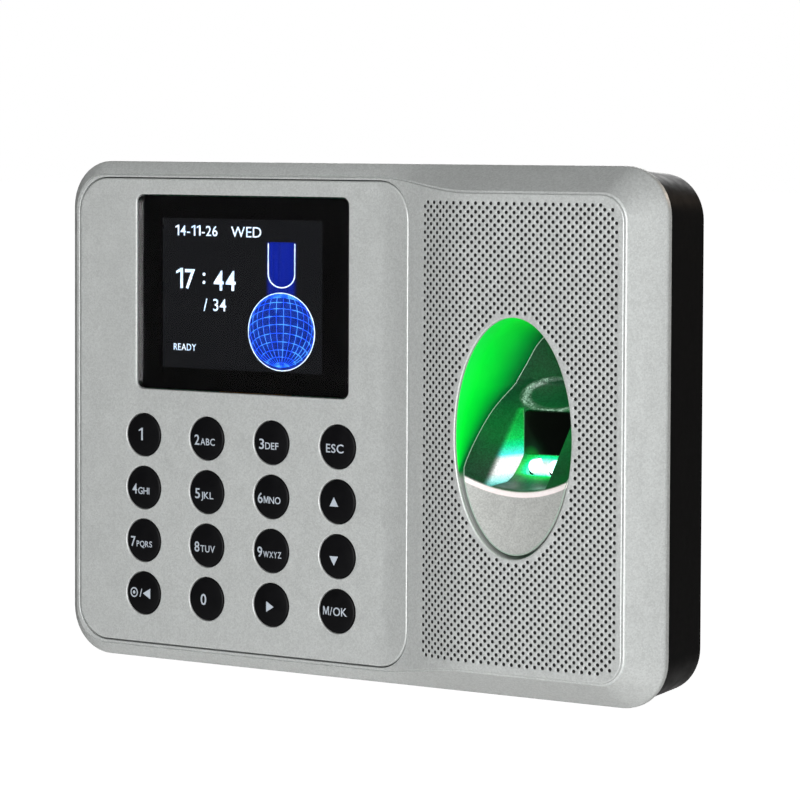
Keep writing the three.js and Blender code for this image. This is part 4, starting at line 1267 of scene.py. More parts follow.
@dataclass
class Keypad:
    """The panel let into the front, its sixteen keys and their printed legends."""

    thickness: float = 1.6
    edge: float = 0.5
    window_gap: float = 0.3
    key_r: float = 5.25
    hole_r: float = 5.4
    crown: float = 0.38
    crown_y: float = -22.9
    flange_r: float = 6.0
    print_at: Flat = (0.67, 0.18)
    print_t: float = 0.03
    keys: tuple[Key, ...] = (
        Key("key_1", (Words("1", -1.95, -1.55, 3.1, 1.35),)),
        letter_key("2", "ABC", -4.2, 4.4), letter_key("3", "DEF", -4.1, 3.95),
        letter_key("4", "GHI", -4.0, 3.5), letter_key("5", "JKL", -4.0, 3.75),
        letter_key("6", "MNO", -4.5, 5.0), letter_key("7", "PQRS", -4.5, 4.8, 1.55),
        letter_key("8", "TUV", -4.15, 4.4), letter_key("9", "WXYZ", -4.6, 5.35, 1.6),
        Key("key_0", (Words("0", -2.1, -1.6, 2.8, 1.75, 0.01),)),
        Key("key_esc", (Words("ESC", -3.75, -1.55, 2.15, 5.2, 0.008),)),
        Key("key_menu", (Words("M/OK", -4.55, -1.2, 2.1, 7.1, 0.006),)),
        Key("key_up", (), Arrow.UP, (-1.3, -0.55)),
        Key("key_down", (), Arrow.DOWN, (-1.3, -0.85)),
        Key("key_right", (), Arrow.RIGHT, (-0.95, -0.55)),
        Key("key_left", (Words("/", -1.6, -1.1, 2.1, 0.85, 0.008),), Arrow.LEFT, (1.0, -0.2), (-3.4, -0.1)),
    )

    def build(self) -> None:
        """Builds and dresses the panel, the keys and the legends."""
        window = NodeBox.of("display_window")
        gap = self.window_gap
        hole = RoundedRect(window.x0 - gap, window.x1 + gap, window.z0 - gap, window.z1 + gap, 2.0)
        holes: list[Outline] = [hole]
        centres = {key.node: NodeBox.of(key.node).middle[::2] for key in self.keys}
        holes += [Oval(x, z, self.hole_r, self.hole_r, 64) for x, z in centres.values()]
        grid = [(x, z) for x in FACE.xs(9.4, 17.6) for z in spread(-44.0, 44.0, 2.2)]
        plate = Plate(PANEL_OUTLINE, FACE.depth, FACE.behind(self.thickness), self.edge, holes, 0.3, grid)
        piece = plate.build(MeshMaker()).piece("keypad_face", (SILVER,), weighted=True)
        Seat(CASE, "silver_paint", ("keypad_panel",)).take(piece)
        for key in self.keys:
            self.build_key(key, centres[key.node])

    def dome(self, x: float, z: float) -> float:
        """The Y of a key's crown at (x, z) from its centre."""
        return self.crown_y + self.crown * (math.hypot(x, z) / (self.key_r - 0.45)) ** 2.4

    def build_key(self, key: Key, centre: Flat) -> None:
        """Builds one key and its legend, at rest, to ride its own body."""
        profile = [(0.0, self.crown_y)]
        profile += [(r, self.dome(r, 0)) for r in (1.0, 2.0, 3.0, 3.7, 4.2, 4.6, 4.8)]
        profile += [(4.97, -22.48), (5.11, -22.38), (5.2, -22.24), (self.key_r, -22.05), (self.key_r, -20.7)]
        flange = self.flange_r
        profile += [(5.4, -20.5), (5.85, -20.5), (flange, -20.42), (flange, -19.98), (5.9, -19.9)]
        profile.append((0.0, -19.9))
        cap = Lathe((centre[0], 0.0, centre[1]), profile, 64).build(MeshMaker())
        Seat(key.node, "key_black", (key.node,)).take(cap.piece(f"cap_{key.node}", (KEY_BLACK,)))
        maker = MeshMaker()
        middle = (centre[0] + self.print_at[0], centre[1] + self.print_at[1])

        def surface(x: float, z: float) -> float:
            """The legend's front, just proud of the crown."""
            return self.dome(x - centre[0], z - centre[1]) - self.print_t
        for words in key.words:
            words.lay(maker, middle, surface, 2 * self.print_t)
        if key.arrow:
            self.lay_arrow(maker, key, middle, surface)
        if key.ring_at:
            self.lay_ring(maker, (middle[0] + key.ring_at[0], middle[1] + key.ring_at[1]), surface)
        legend = maker.piece(f"legend_{key.node}", (LEGEND_GREY,))
        Seat(key.node, "key_black").take(legend)

    def lay_arrow(self, maker: MeshMaker, key: Key, centre: Flat, surface: Height) -> None:
        """Adds a solid arrow head to a legend."""
        turn = math.radians(key.arrow.value)
        size = 1.5
        corners = []
        for k in range(3):
            start, end = (2 * math.pi * j / 3 + turn for j in (k, k + 1))
            for share in (0.0, 0.33, 0.67):
                u = lerp(math.cos(start), math.cos(end), share) * size
                v = lerp(math.sin(start), math.sin(end), share) * size
                corners.append((centre[0] + key.arrow_at[0] + u, centre[1] + key.arrow_at[1] + v))
        front = maker.loop(corners, surface)
        back = maker.loop(corners, lambda x, z: surface(x, z) + 2 * self.print_t)
        maker.face(front)
        maker.face(back)
        maker.wall(front, back)

    def lay_ring(self, maker: MeshMaker, at: Flat, surface: Height) -> None:
        """Adds a ring with a dot in it to a legend."""
        def under(x: float, z: float) -> float:
            """The legend's back."""
            return surface(x, z) + 2 * self.print_t
        rings = [Oval(*at, r, r, 28).points() for r in (1.25, 0.93, 0.42)]
        loops = [(maker.loop(ring, surface), maker.loop(ring, under)) for ring in rings]
        (outer, outer_back), (inner, inner_back), (dot, dot_back) = loops
        maker.walls([outer, outer_back, inner_back, inner, outer])
        maker.wall(dot, dot_back)
        maker.face(dot)
        maker.face(dot_back)


@dataclass
class Display:
    """The clear window, the print behind it, the lit screen and the picture on it."""

    picture: RoundedRect = RoundedRect(-57.5, -8.5, 11.1, 48.0, 0.15, 2)
    globe: Oval = Oval(-21.2, 20.9, 10.0, 9.4)
    beam_half: float = 4.0
    beam_bend: Flat = (34.8, 3.2)
    beam_top: float = 42.3
    line_r: float = 0.085
    picture_gap: float = 0.06

    def build(self) -> None:
        """Builds and dresses the window, its print, the screen and the picture."""
        box = NodeBox.of("display_window")
        shape = RoundedRect(box.x0, box.x1, box.z0, box.z1, 1.7, 10)
        window = Plate(shape, level(box.y0), level(box.y1), 0.08).build(MeshMaker())
        pane = window.piece("window_pane", (WINDOW_CLEAR,), weighted=True)
        Seat(CASE, "window_acrylic", ("display_window",)).take(pane)
        behind = box.y1 + 0.03
        mask_shape = RoundedRect(box.x0 + 0.02, box.x1 - 0.02, box.z0 + 0.02, box.z1 - 0.02, 1.7, 10)
        mask = Plate(mask_shape, level(behind), level(behind + 0.06), 0.01, [self.picture], 0.01, steps=1)
        Seat(CASE, "window_acrylic").take(mask.build(MeshMaker()).piece("window_print", (MASK_BLACK,)))
        screen = NodeBox.of("lcd_screen")
        glass_shape = RoundedRect(screen.x0, screen.x1, screen.z0, screen.z1, 0.3)
        glass = Plate(glass_shape, level(screen.y0), level(screen.y1), 0.1).build(MeshMaker())
        Seat(CASE, "lcd_glass", ("lcd_screen",)).take(glass.piece("screen_glass", (SCREEN,)))
        self.write(screen.y0 - self.picture_gap)
        self.draw_globe(screen.y0 - self.picture_gap)

    def write(self, front: float) -> None:
        """Writes the date, the clock, the count and the state on the screen."""
        lines = {
            "screen_date": (
                Words("14-11-26", -54.0, 43.7, 2.6, 13.2, 0.004), Words("WED", -36.6, 43.6, 2.7, 9.2),
            ),
            "screen_clock": (
                Words("17", -53.8, 30.7, 5.0, 6.0, 0.012), Words(":", -45.4, 32.0, 4.2, 0.85, 0.012),
                Words("44", -41.9, 30.5, 5.0, 6.7, 0.012),
            ),
            "screen_count": (
                Words("/", -45.1, 25.3, 3.2, 1.2, 0.004), Words("34", -42.1, 25.4, 3.1, 4.0, 0.006),
            ),
            "screen_state": (Words("READY", -54.4, 15.4, 1.75, 7.0, 0.002),),
        }
        for name, runs in lines.items():
            maker = MeshMaker()
            for words in runs:
                words.lay(maker, (0.0, 0.0), level(front), 0.05)
            Seat(CASE, "lcd_glass").take(maker.piece(name, (WHITE_FIGURES,)))

    def draw_globe(self, front: float) -> None:
        """Draws a plain wire globe, standing in the beam of light."""
        maker = MeshMaker()
        globe = self.globe
        tilt = math.radians(24)
        count = 40
        for k in range(1, 14):
            lat = math.pi * (k / 14 - 0.5)
            ring = []
            for i in range(count + 1):
                lon = math.pi * (i / count - 0.5)
                ring.append(self.on_globe(lat, lon, tilt, front))
            tube(maker, ring, self.line_r, 4)
        for k in range(14):
            lon = math.pi * (k + 0.3) / 14 - math.pi / 2
            lats = [lerp(-math.pi / 2, math.pi / 2, i / 24) for i in range(25)]
            arc = [self.on_globe(lat, lon, tilt, front) for lat in lats]
            tube(maker, arc, self.line_r * 0.8, 4)
        Seat(CASE, "lcd_glass").take(maker.piece("screen_globe", (BLUE_LINES,)))
        round_globe = Oval(globe.x, globe.z, globe.a, globe.b, 64)
        disc = Plate(round_globe, level(front + 0.03), level(front + 0.05), 0.005, steps=1)
        Seat(CASE, "lcd_glass").take(disc.build(MeshMaker()).piece("screen_globe_ground", (BLUE_DEEP,)))
        halo = MeshMaker()
        ring = [(x, front, z) for x, z in round_globe.points()]
        tube(halo, [*ring, ring[0]], 0.13, 5)
        half, bend, top = self.beam_half, self.beam_bend, self.beam_top
        turns = [math.pi * i / 16 for i in range(16, 33)]
        end = [(globe.x + half * math.cos(t), front, bend[0] + bend[1] * math.sin(t)) for t in turns]
        tube(halo, [(globe.x - half, front, top), *end, (globe.x + half, front, top)], 0.16, 6)
        Seat(CASE, "lcd_glass").take(halo.piece("screen_beam_lines", (WHITE_FIGURES,)))

    def on_globe(self, lat: float, lon: float, tilt: float, front: float) -> Point:
        """A point of the globe's wire, laid flat on the screen."""
        x = math.cos(lat) * math.sin(lon)
        y = math.cos(lat) * math.cos(lon)
        z = math.sin(lat)
        up = z * math.cos(tilt) + y * math.sin(tilt)
        return self.globe.x + self.globe.a * x, front, self.globe.z + self.globe.b * up


@dataclass
class FingerSeat:
    """The finger rest with its ridge, the ramp and sensor pocket behind it, and the green ring round them."""

    rim_depth: float = 1.0
    dish: float = 2.2
    floor: float = 21.0
    draft: float = 3.0
    draft_z: Flat = (3.0, 20.0)
    rest_inset: float = 0.5
    dish_oval: Oval = DISH
    dish_deep: float = 1.1
    dish_rim: float = 0.45
    ridge_z: float = RIDGE_Z
    ridge_sag: float = RIDGE_SAG
    ridge_rise: float = 0.55
    ridge_w: float = 0.85
    gap: float = 0.3
    skin: float = 1.5
    pocket_half: float = POCKET_HALF
    flank: float = 0.2
    ring_front: float = -27.3
    ring_t: float = 1.5
    window_gap: float = 0.25
    lamp_well_r: float = 1.95
    profile: tuple[Flat, ...] = (
        (-14.4, -3.0), (-13.4, 2.0), (-12.9, 5.0), (-12.0, 8.5), (-10.5, 11.5), (-8.0, 14.2),
        (-5.9, 15.9), (4.9, 15.9), (5.4, 12.0),
    )

    @property
    def front_y(self) -> float:
        """The Y of the finger side's face."""
        return FACE.left_y - FACE.rise

    def pocket_depth(self, z: float) -> float:
        """The depth of the sensor pocket's floor below the face at z."""
        total = 0.0
        for shift in (-0.3, 0.0, 0.3):
            at = max(self.profile[0][0], min(self.profile[-1][0], z + shift))
            for (z0, d0), (z1, d1) in zip(self.profile, self.profile[1:]):
                if z0 <= at <= z1:
                    total += lerp(d0, d1, (at - z0) / (z1 - z0))
                    break
        return total / 3

    def depth(self, x: float, z: float) -> float:
        """The depth of the guide's surface below the face."""
        oval = FINGER_OPENING
        u, w = (x - oval.x) / (oval.a - self.gap), (z - oval.z) / (oval.b - self.gap)
        ridge = self.ridge_z - self.ridge_sag * (1 - min(1.0, u * u))
        low = (min(z, ridge) - oval.z) / (oval.b - self.gap)
        past = z - ridge
        dish = self.rim_depth + self.dish * max(0.0, 1 - u * u - (w * w if past < 0 else low * low))
        slope = lerp(0.77, 1.0, smoothstep(abs(u), 0.47, 1.0))
        ramp = slope * (past + math.sqrt(past * past + 0.5)) / 2
        crest = self.ridge_rise * math.exp(-((past - 0.1) / self.ridge_w) ** 2) * (1 - 0.75 * min(1.0, u * u))
        found = min(self.floor, dish + ramp - crest)
        bowl = self.dish_oval
        reach = math.hypot((x - bowl.x) / bowl.a, (z - bowl.z) / bowl.b)
        rim = self.dish_rim * math.exp(-((reach - 1) / 0.13) ** 2)
        found += self.dish_deep * max(0.0, 1 - reach * reach) - rim
        share = smoothstep(abs(x - oval.x), self.pocket_half + self.flank, self.pocket_half - self.flank)
        share *= smoothstep(past, 0.35, 1.0)
        if self.profile[0][0] < z < self.profile[-1][0] and share > 0:
            found += share * max(0.0, self.pocket_depth(z) - found)
        return found

    def surface(self, x: float, z: float) -> float:
        """The Y of the guide's surface."""
        return self.front_y + self.depth(x, z)

    def build(self) -> None:
        """Builds and dresses the guide, the ring, the sensor window and the lamps."""
        lamps = [NodeBox.of(name) for name in LAMP_NODES]
        window = NodeBox.of("sensor_window")
        back = NodeBox.of("finger_guide").y1
        outline = Drafted(FINGER_OPENING, self.inset)
        gap, well_r = self.window_gap, self.lamp_well_r
        frame_hole = RoundedRect(window.x0 - gap, window.x1 + gap, window.z0 - gap, window.z1 + gap, 0.9)
        wells = [Oval(lamp.middle[0], lamp.middle[2], well_r, well_r, 40) for lamp in lamps]
        holes: list[Outline] = [frame_hole, *wells]

        def behind(x: float, z: float) -> float:
            """The Y of the guide's back."""
            return min(self.surface(x, z) + self.skin, back)
        plate = Plate(outline, self.surface, behind, 0.3, holes, 0.08, self.grid(outline, holes))
        glow = tuple((lamp.middle[0], lamp.y0, lamp.middle[2]) for lamp in lamps)
        lit = LitPaint(
            "lit_silver", (0.5, 0.51, 0.49), 0.42, 0.3, relief=0.006, relief_size=0.35, lamps=glow,
            flake=0.3, flake_share=0.25,
        )
        guide = plate.build(MeshMaker()).piece("finger_rest", (lit,), 50.0)
        Seat(CASE, "silver_paint", ("finger_guide",)).take(guide)
        # A thin tube that glows faintly along the rest's edge: a painted highlight.
        rim_highlight = MeshMaker()
        edge = [(x, self.surface(x, z) - 0.02, z) for x, z in outline.points(-0.2)]
        tube(rim_highlight, [*edge, edge[0]], 0.11, 6)
        Seat(CASE, "silver_paint").take(rim_highlight.piece("finger_rest_edge_highlight", (GUIDE_EDGE_HIGHLIGHT,)))
        ring = self.ring(NodeBox.of("light_guide").y1).piece("green_ring", (RING_GREEN,))
        Seat(CASE, "light_guide_green", ("light_guide",)).take(ring)
        pane_shape = RoundedRect(window.x0, window.x1, window.z0, window.z1, 0.7)
        pane = Plate(pane_shape, level(window.y0), level(window.y1), 0.15).build(MeshMaker())
        glass = pane.piece("sensor_pane", (SENSOR_BLACK,), weighted=True)
        Seat(CASE, "sensor_glass", ("sensor_window",)).take(glass)
        for lamp, name in zip(lamps, LAMP_NODES):
            self.build_lamp(lamp, name)

    def inset(self, x: float, z: float) -> float:
        """How far the guide's edge stands in from the opening."""
        deep = self.draft * smoothstep(z, *self.draft_z)
        return self.gap + deep + self.rest_inset * smoothstep(z, -8.0, -10.5)

    def ring(self, back: float) -> MeshMaker:
        """The green ring: straight outside, drawn in towards its back at the top inside."""
        maker = MeshMaker()
        oval, rounded = FINGER_OPENING, fillet(0.2)
        outer = [maker.loop(oval.points(self.ring_t - i), level(self.ring_front + d)) for i, d in rounded]
        outer.append(maker.loop(oval.points(self.ring_t), level(back)))
        loops = [maker.loop(oval.points(i), level(self.ring_front + d)) for i, d in rounded]
        for share in spread(0.1, 1.0, 0.1):
            drawn = Drafted(oval, lambda x, z: self.draft * smoothstep(z, *self.draft_z) * share ** 1.6)
            loops.append(maker.loop(drawn.points(), level(lerp(self.ring_front, back, share))))
        maker.walls([*reversed(outer), *loops, outer[-1]])
        return maker

    def grid(self, outline: Drafted, holes: Sequence[Outline]) -> list[Flat]:
        """The points that the guide's surface runs through, closest where it is steep."""
        half, oval = self.pocket_half, outline.oval
        xs = [oval.x + s * d for s in (-1, 1) for d in spread(half - 0.25, half + 0.25, 0.05)]
        across = spread(oval.x - oval.a, oval.x + oval.a, 0.45)
        xs += [x for x in across if abs(abs(x - oval.x) - half) > 0.35]
        zs = spread(oval.z - oval.b, -16.5, 0.6) + spread(-16.2, -4.8, 0.22) + spread(-4.4, 3.4, 0.5)
        zs += spread(3.6, 5.9, 0.12) + spread(6.2, 13.0, 0.25) + spread(13.4, oval.z + oval.b, 0.5)
        rims = [hole.points(0.2) for hole in holes]
        rim = outline.points(-0.45)
        found = []
        for x in xs:
            for z in zs:
                if inside((x, z), rim) and not any(inside((x, z), well) for well in rims):
                    found.append((x, z))
        return found

    def build_lamp(self, box: NodeBox, node: str) -> None:
        """Builds one domed lamp."""
        radius = (box.x1 - box.x0) / 2
        turns = [math.pi / 2 * i / 8 for i in range(9)]
        dome = [(radius * math.sin(t), box.y0 + radius * 0.55 * (1 - math.cos(t))) for t in turns]
        profile = [(0.0, box.y0), *dome[1:], (radius, box.y1 - 0.1), (radius - 0.1, box.y1), (0.0, box.y1)]
        centre = (box.middle[0], 0.0, box.middle[2])
        lens = Lathe(centre, profile, 40).build(MeshMaker()).piece(f"lens_{node}", (LAMP,))
        Seat(CASE, "led_lens", (node,)).take(lens)


@dataclass
class RearShell:
    """The black rear shell, with the plate's recess, hook slots, screw holes and lock pockets."""

    half_front: Flat = (86.2, 61.0)
    half_back: Flat = (85.2, 60.0)
    corner_r: float = 10.7
    edge: float = 0.9
    recess: RoundedRect = RoundedRect(-82.6, 82.6, -57.4, 57.4, 8.1, 14)
    cavity: RoundedRect = RoundedRect(-83.0, 83.0, -57.8, 57.8, 8.5, 14)
    floor: Flat = (-5.5, -3.5)
    hook_half: float = 3.9
    hook_slot: Flat = (8.5, 2.3)
    pocket_half: float = 6.5
    pocket_z: Flat = (-57.0, -36.0)
    pocket_y: float = -9.5
    tray_wall: float = 0.7
    tray_gap: float = 0.05
    wire_hole: RoundedRect = RoundedRect(-17.0, 17.0, 14.0, 40.0, 1.2)

    def ring(self, half: Flat, grow: float) -> list[Flat]:
        """The shell's outline at one depth."""
        w, h = half
        return RoundedRect(-w, w, -h, h, self.corner_r, 14).points(grow)

    def build(self) -> None:
        """Builds and dresses the shell."""
        box = NodeBox.of("rear_shell")
        maker = MeshMaker()
        outside = [
            maker.loop(self.ring(self.half_front, -0.25), level(box.y0)),
            maker.loop(self.ring(self.half_front, 0.0), level(box.y0 + 0.25)),
        ]
        for inset, drop in reversed(fillet(self.edge, 5)):
            outside.append(maker.loop(self.ring(self.half_back, -inset), level(box.y1 - drop)))
        wide, deep = self.recess, self.cavity
        inner = [
            maker.loop(wide.points(0.3), level(box.y1)), maker.loop(wide.points(), level(box.y1 - 0.3)),
            maker.loop(wide.points(), level(self.floor[1])),
        ]
        front = [
            maker.loop(deep.points(), level(self.floor[0])), maker.loop(deep.points(), level(box.y0 + 0.1)),
            outside[0],
        ]
        maker.walls([*outside, *inner])
        maker.walls(front)
        holes = self.floor_holes()
        rims = []
        for hole in holes:
            rims.append([
                maker.loop(hole.points(0.25), level(self.floor[1])),
                maker.loop(hole.points(), level(self.floor[1] - 0.25)),
                maker.loop(hole.points(), level(self.floor[0])),
            ])
            maker.walls(rims[-1])
        maker.sheet(inner[-1], [rim[0] for rim in rims], level(self.floor[1]))
        maker.sheet(front[0], [rim[-1] for rim in rims], level(self.floor[0]))
        shell = maker.piece("shell_body", (SHELL_BLACK,), 30.0)
        cutter = MeshMaker()
        for side in (-1, 1):
            profile = [(0.0, -70.0), (3.3, -70.0), (3.3, -61.0), (3.1, -60.6), (3.1, -59.0)]
            profile += [(SCREW_CLEAR_R, -59.0), (SCREW_CLEAR_R, -55.0), (0.0, -55.0)]
            Lathe((side * LOCK_X, LOCK_Y, 0.0), profile, 40, "Z").build(cutter)
        carve(shell, cutter)
        Seat(CASE, "shell_black", ("rear_shell",)).take(shell)
        self.build_trays()

    def floor_holes(self) -> list[Outline]:
        """The openings through the recess floor."""
        holes: list[Outline] = [self.wire_hole]
        half, (below, above) = self.hook_half, self.hook_slot
        for side in (-1, 1):
            x = side * HOOK_X
            holes += [RoundedRect(x - half, x + half, z - below, z + above, 0.6, 4) for z in HOOK_Z]
            holes.append(self.pocket_outline(side * LOCK_X))
        for node in CASE_SCREWS:
            x, _, z = NodeBox.of(node).middle
            holes.append(Oval(x, z, SCREW_CLEAR_R, SCREW_CLEAR_R, 32))
        return holes

    def pocket_outline(self, x: float) -> RoundedRect:
        """The mouth of the lock pocket at x."""
        return RoundedRect(x - self.pocket_half, x + self.pocket_half, *self.pocket_z, 0.8, 4)

    def build_trays(self) -> None:
        """Builds the two open pockets that take the plate's tabs."""
        for side, name in ((-1, "lock_pocket_left"), (1, "lock_pocket_right")):
            x = side * LOCK_X
            inner = self.pocket_outline(x)
            wall, gap = inner.points(self.tray_wall), inner.points(self.tray_gap)
            mouth = level(self.floor[0] - 0.02)
            maker = MeshMaker()
            outer_low, outer_top = maker.loop(wall, mouth), maker.loop(wall, level(self.pocket_y - 1.0))
            inside_low, inside_top = maker.loop(gap, mouth), maker.loop(gap, level(self.pocket_y))
            maker.walls([outer_top, outer_low, inside_low, inside_top])
            maker.face(outer_top)
            maker.face(inside_top)
            tray = maker.piece(name, (SHELL_BLACK,))
            cutter = MeshMaker()
            Lathe((x, LOCK_Y, 0.0), pin(1.7, -59.0, -54.0), 24, "Z").build(cutter)
            carve(tray, cutter)
            Seat(CASE, "shell_black").take(tray)


@dataclass
class WallPlate:
    """The steel plate on the wall, with its four hooks and two tapped tabs."""

    screw_x: float = 40.0
    screw_z: Flat = (38.0, -37.0)
    hook_w: float = 7.0
    hook_reach: Flat = (-8.2, 6.0)
    tab_w: float = 10.0
    tab_reach: float = -9.2
    bend_t: float = 2.0
    tab_t: float = 1.5
    root_y: float = -1.5
    sheet_t: float = 2.0

    def build(self) -> None:
        """Builds and dresses the plate."""
        box = NodeBox.of("wall_plate")
        outline = RoundedRect(box.x0, box.x1, box.z0, box.z1, 4.0, 10)
        holes: list[Outline] = [RoundedRect(-18.0, 18.0, 16.0, 42.0, 2.0)]
        holes += [Oval(x, z, 2.3, 2.3, 40) for x in (-self.screw_x, self.screw_x) for z in self.screw_z]
        maker = Plate(outline, level(-self.sheet_t), level(box.y1), 0.3, holes, 0.25).build(MeshMaker())
        root, t = self.root_y, self.bend_t
        tip, rise = self.hook_reach
        for x in (-HOOK_X, HOOK_X):
            for z in HOOK_Z:
                hook = [(root, z), (tip, z), (tip, z + rise), (tip + t, z + rise)]
                hook += [(tip + t, z + t), (root, z + t)]
                self.bent(maker, x, self.hook_w, hook)
        low, high, end = box.z0, box.z0 + self.tab_t, self.tab_reach
        for x in (-LOCK_X, LOCK_X):
            self.bent(maker, x, self.tab_w, [(root, low), (end, low), (end, high), (root, high)])
        plate = maker.piece("bracket_plate", (ZINC,), 40.0, True)
        cutter = MeshMaker()
        for x in (-LOCK_X, LOCK_X):
            Lathe((x, LOCK_Y, 0.0), pin(1.85, -50.0, -40.0), 32, "Z").build(cutter)
        carve(plate, cutter)
        Seat(WALL, "steel_zinc", ("wall_plate",)).take(plate)

    def bent(self, maker: MeshMaker, x: float, width: float, outline: Sequence[Flat]) -> None:
        """Adds a bent strip: a (y, z) outline across a width, with softened edges."""
        loops = []
        middle_y = sum(y for y, _ in outline) / len(outline)
        middle_z = sum(z for _, z in outline) / len(outline)
        left, right = x - width / 2, x + width / 2
        for at, share in ((left, 0.97), (left + 0.15, 1.0), (right - 0.15, 1.0), (right, 0.97)):
            drawn = [(at, lerp(middle_y, y, share), lerp(middle_z, z, share)) for y, z in outline]
            loops.append(maker.add(drawn))
        maker.walls(loops)
        maker.face(loops[0])
        maker.face(loops[-1])


class Drive(Enum):
    """The recess in a screw's head."""

    CROSS = "cross"
    SLOT = "slot"


@dataclass
class Screws:
    """The housing, board and lock screws."""

    shank_r: float = 1.45

    def build(self) -> None:
        """Builds and dresses every screw."""
        for k in range(1, 5):
            self.along_y(f"case_screw_{k}", 2.75, self.shank_r, 1, Drive.CROSS)
            self.along_y(f"board_screw_{k}", 2.3, 1.2, -1, Drive.SLOT)
        for side in ("left", "right"):
            self.lock(f"lock_screw_{side}")

    def thread(self, radius: float, start: float, end: float) -> list[Flat]:
        """A shank's profile from its head to its tip, with rings for its thread."""
        way = 1 if end > start else -1
        found = [(radius, start)]
        at = start + way * 0.8
        while (end - at) * way > 1.2:
            found += [(radius, at), (radius - 0.22, at + way * 0.3)]
            at += way * 0.6
        return [*found, (radius, at), (radius * 0.5, end), (0.0, end)]

    def along_y(self, node: str, head_r: float, radius: float, way: int, drive: Drive) -> None:
        """Builds a screw along Y whose head faces the back (way 1) or the front (way -1)."""
        box = NodeBox.of(node)
        x, _, z = box.middle
        head, tip = (box.y1, box.y0) if way > 0 else (box.y0, box.y1)
        under = head - way * 1.45
        crown = [(0.0, head), (head_r * 0.5, head), (head_r * 0.8, head - way * 0.12)]
        crown += [(head_r * 0.95, head - way * 0.42), (head_r, head - way * 0.8)]
        profile = [*crown, (head_r, under), *self.thread(radius, under, tip)]
        turned = Lathe((x, 0.0, z), profile, 36).build(MeshMaker())
        piece = turned.piece(f"{node}_turned", (ZINC,), 40.0)
        for turn in (0, 1) if drive is Drive.CROSS else (0,):
            cutter = MeshMaker()
            reach = (1.4, 0.33) if turn == 0 else (0.33, 1.4)
            ends = sorted((head - way * 0.75, head + way * 1.0))
            block(cutter, (x - reach[0], ends[0], z - reach[1]), (x + reach[0], ends[1], z + reach[1]), 0.0)
            carve(piece, cutter)
        Seat(CASE, "steel_zinc", (node,)).take(piece)

    def lock(self, node: str) -> None:
        """Builds a lock screw, which stands up from the underside."""
        box = NodeBox.of(node)
        x, y, _ = box.middle
        low = box.z0
        profile = [(0.0, low), (1.9, low), (2.4, low + 0.12), (2.65, low + 0.4), (2.7, low + 0.7)]
        profile.append((2.7, low + 1.45))
        profile += self.thread(self.shank_r, low + 1.45, box.z1)
        turned = Lathe((x, y, 0.0), profile, 40, "Z").build(MeshMaker())
        piece = turned.piece(f"{node}_turned", (OXIDE,), 40.0)
        cutter = MeshMaker()
        block(cutter, (x - 3.0, y - 0.35, low - 1.0), (x + 3.0, y + 0.35, low + 0.6), 0.0)
        carve(piece, cutter)
        Seat(CASE, "screw_black", (node,)).take(piece)


@dataclass
class Wiring:
    """The two wire sockets that show through the wire opening."""

    pins: int = 5
    pitch: float = 2.5
    wall: float = 0.8

    def build(self) -> None:
        """Builds and dresses both sockets."""
        for node in ("wiring_connector_1", "wiring_connector_2"):
            box = NodeBox.of(node)
            body = MeshMaker()
            block(body, (box.x0, box.y0, box.z0), (box.x1, box.y1, box.z1), 0.25)
            piece = body.piece(f"{node}_body", (NYLON,))
            cutter = MeshMaker()
            start = box.middle[0] - self.pitch * (self.pins - 1) / 2
            for k in range(self.pins):
                x = start + k * self.pitch
                low = (x - 1.0, box.y1 - 4.0, box.z0 + self.wall)
                block(cutter, low, (x + 1.0, box.y1 + 1.0, box.z1 - self.wall), 0.0)
            carve(piece, cutter)
            Seat(CASE, "connector_white", (node,)).take(piece)
            pins = MeshMaker()
            for k in range(self.pins):
                x, z = start + k * self.pitch, box.middle[2]
                block(pins, (x - 0.35, box.y0 + 0.5, z - 0.35), (x + 0.35, box.y1 - 1.2, z + 0.35), 0.1)
            Seat(CASE, "steel_bright").take(pins.piece(f"{node}_pins", (BRIGHT_STEEL,)))


@dataclass
class Insides:
    """The nodes whose CAD shape stays: each gets the finish of its real material."""

    finishes: dict[str, Finish] = field(default_factory=lambda: {
        "display_seal": FOAM, "lcd_frame": BRIGHT_STEEL, "keypad_mat": SILICONE, "keypad_board": BOARD,
        "sensor_prism": PRISM, "sensor_board": BOARD, "main_board": BOARD, "speaker": PART_BLACK,
        "backup_battery": CELL_STEEL, "buzzer": PART_BLACK, "lock_relay": NYLON, "lcd_cable": FILM,
        "keypad_cable": FILM, "sensor_cable": FILM,
    })

    def dress(self) -> None:
        """Gives each kept node its finish."""
        for node, finish in self.finishes.items():
            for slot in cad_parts[node].material_slots:
                slot.material = finish.material()
            LOG.info("%s keeps its CAD shape in %s", node, finish.name)


# ---- studio --------------------------------------------------------------------------------

@dataclass
class Lamp:
    """A soft box: where it hangs, its size in metres, its power and its colour."""

    name: str
    place: Point
    size: Flat
    power: float
    colour: Colour = (1.0, 1.0, 1.0)

    def hang(self, target: Vector) -> None:
        """Hangs the lamp, turned to the target."""
        light = bpy.data.lights.new(self.name, "AREA")
        light.shape, light.size, light.size_y = "RECTANGLE", *self.size
        light.energy, light.color = self.power, self.colour
        obj = bpy.data.objects.new(self.name, light)
        obj.location = self.place
        obj.rotation_mode = "QUATERNION"
        obj.rotation_quaternion = (target - Vector(self.place)).to_track_quat("-Z", "Y")
        bpy.context.scene.collection.objects.link(obj)


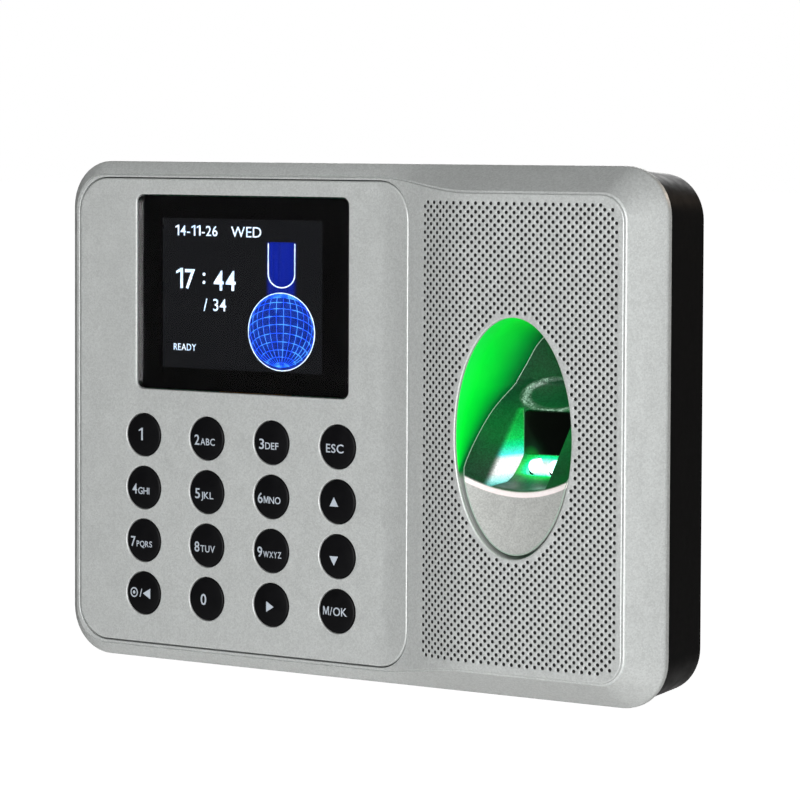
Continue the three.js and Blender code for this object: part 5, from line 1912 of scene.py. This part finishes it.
@dataclass
class Studio:
    """The floor, the pale surroundings, the soft boxes and the camera."""

    eye: Point = (0.51869, -0.73831, 0.06847)
    turn: float = 35.119
    pitch: float = 2.84
    roll: float = 0.242
    lens: float = 167.38
    sensor: float = 36.0
    lift: float = -0.1
    floor_drop: float = 0.4
    floor_half: float = 30.0
    ambient: float = 0.06
    lamps: tuple[Lamp, ...] = (
        Lamp("soft_front", (0.75, -1.35, 0.12), (0.9, 0.9), 26.5),
        Lamp("soft_top", (-0.1, -0.7, 1.1), (0.8, 0.5), 1.0),
        Lamp("soft_side", (1.1, -0.3, 0.2), (0.4, 0.6), 0.5),
        Lamp("soft_back", (-0.6, 1.3, 0.4), (0.9, 0.9), 9.0),
        Lamp("warm_back", (0.5, 0.8, 0.5), (0.3, 0.3), 1.2, (1.0, 0.78, 0.6)),
    )

    def build(self) -> None:
        """Sets up the whole studio."""
        low, high = CAD_BOX
        middle = (low + high) / 2
        for lamp in self.lamps:
            lamp.hang(middle)
        self.lay_floor(low.z - self.floor_drop)
        self.light_room()
        self.place_camera()

    def lay_floor(self, height: float) -> None:
        """Lays the pale floor."""
        maker = MeshMaker()
        half, z = self.floor_half / MM, height / MM
        block(maker, (-half, -half, z - 20.0), (half, half, z), 2.0)
        floor = maker.piece("floor", (FloorPaint("floor_paint", (0.8, 0.8, 0.8), 0.9, relief=0.0),))

    def light_room(self) -> None:
        """Makes the room white to look at and dim as a light."""
        world = bpy.data.worlds.new("room")
        bpy.context.scene.world = world
        world.use_nodes = True
        tree = world.node_tree
        tree.nodes.clear()
        output = tree.nodes.new("ShaderNodeOutputWorld")
        blend = tree.nodes.new("ShaderNodeMixShader")
        path = tree.nodes.new("ShaderNodeLightPath")
        seen, light = tree.nodes.new("ShaderNodeBackground"), tree.nodes.new("ShaderNodeBackground")
        seen.inputs[0].default_value, seen.inputs[1].default_value = (1, 1, 1, 1), 1.0
        light.inputs[0].default_value, light.inputs[1].default_value = (1, 1, 1, 1), self.ambient
        tree.links.new(path.outputs["Is Camera Ray"], blend.inputs[0])
        tree.links.new(light.outputs[0], blend.inputs[1])
        tree.links.new(seen.outputs[0], blend.inputs[2])
        tree.links.new(blend.outputs[0], output.inputs[0])
        bpy.context.scene.view_settings.view_transform = "Standard"

    def place_camera(self) -> None:
        """Places the camera."""
        data = bpy.data.cameras.new("camera")
        data.lens, data.sensor_width, data.shift_y = self.lens, self.sensor, self.lift
        data.clip_start, data.clip_end = 0.05, 50.0
        camera = bpy.data.objects.new("camera", data)
        turn = Matrix.Rotation(math.radians(self.turn), 4, "Z")
        tip = Matrix.Rotation(math.radians(90 - self.pitch), 4, "X")
        roll = Matrix.Rotation(math.radians(self.roll), 4, "Z")
        camera.matrix_world = Matrix.Translation(self.eye) @ turn @ tip @ roll
        bpy.context.scene.collection.objects.link(camera)
        bpy.context.scene.camera = camera


def main() -> None:
    """Builds the terminal, piece by piece, and its studio."""
    logging.basicConfig(level=logging.INFO, format="%(name)s: %(message)s")
    FrontHousing().build()
    Keypad().build()
    Display().build()
    FingerSeat().build()
    RearShell().build()
    WallPlate().build()
    Screws().build()
    Wiring().build()
    Insides().dress()
    Studio().build()


if __name__ == "__main__":
    main()
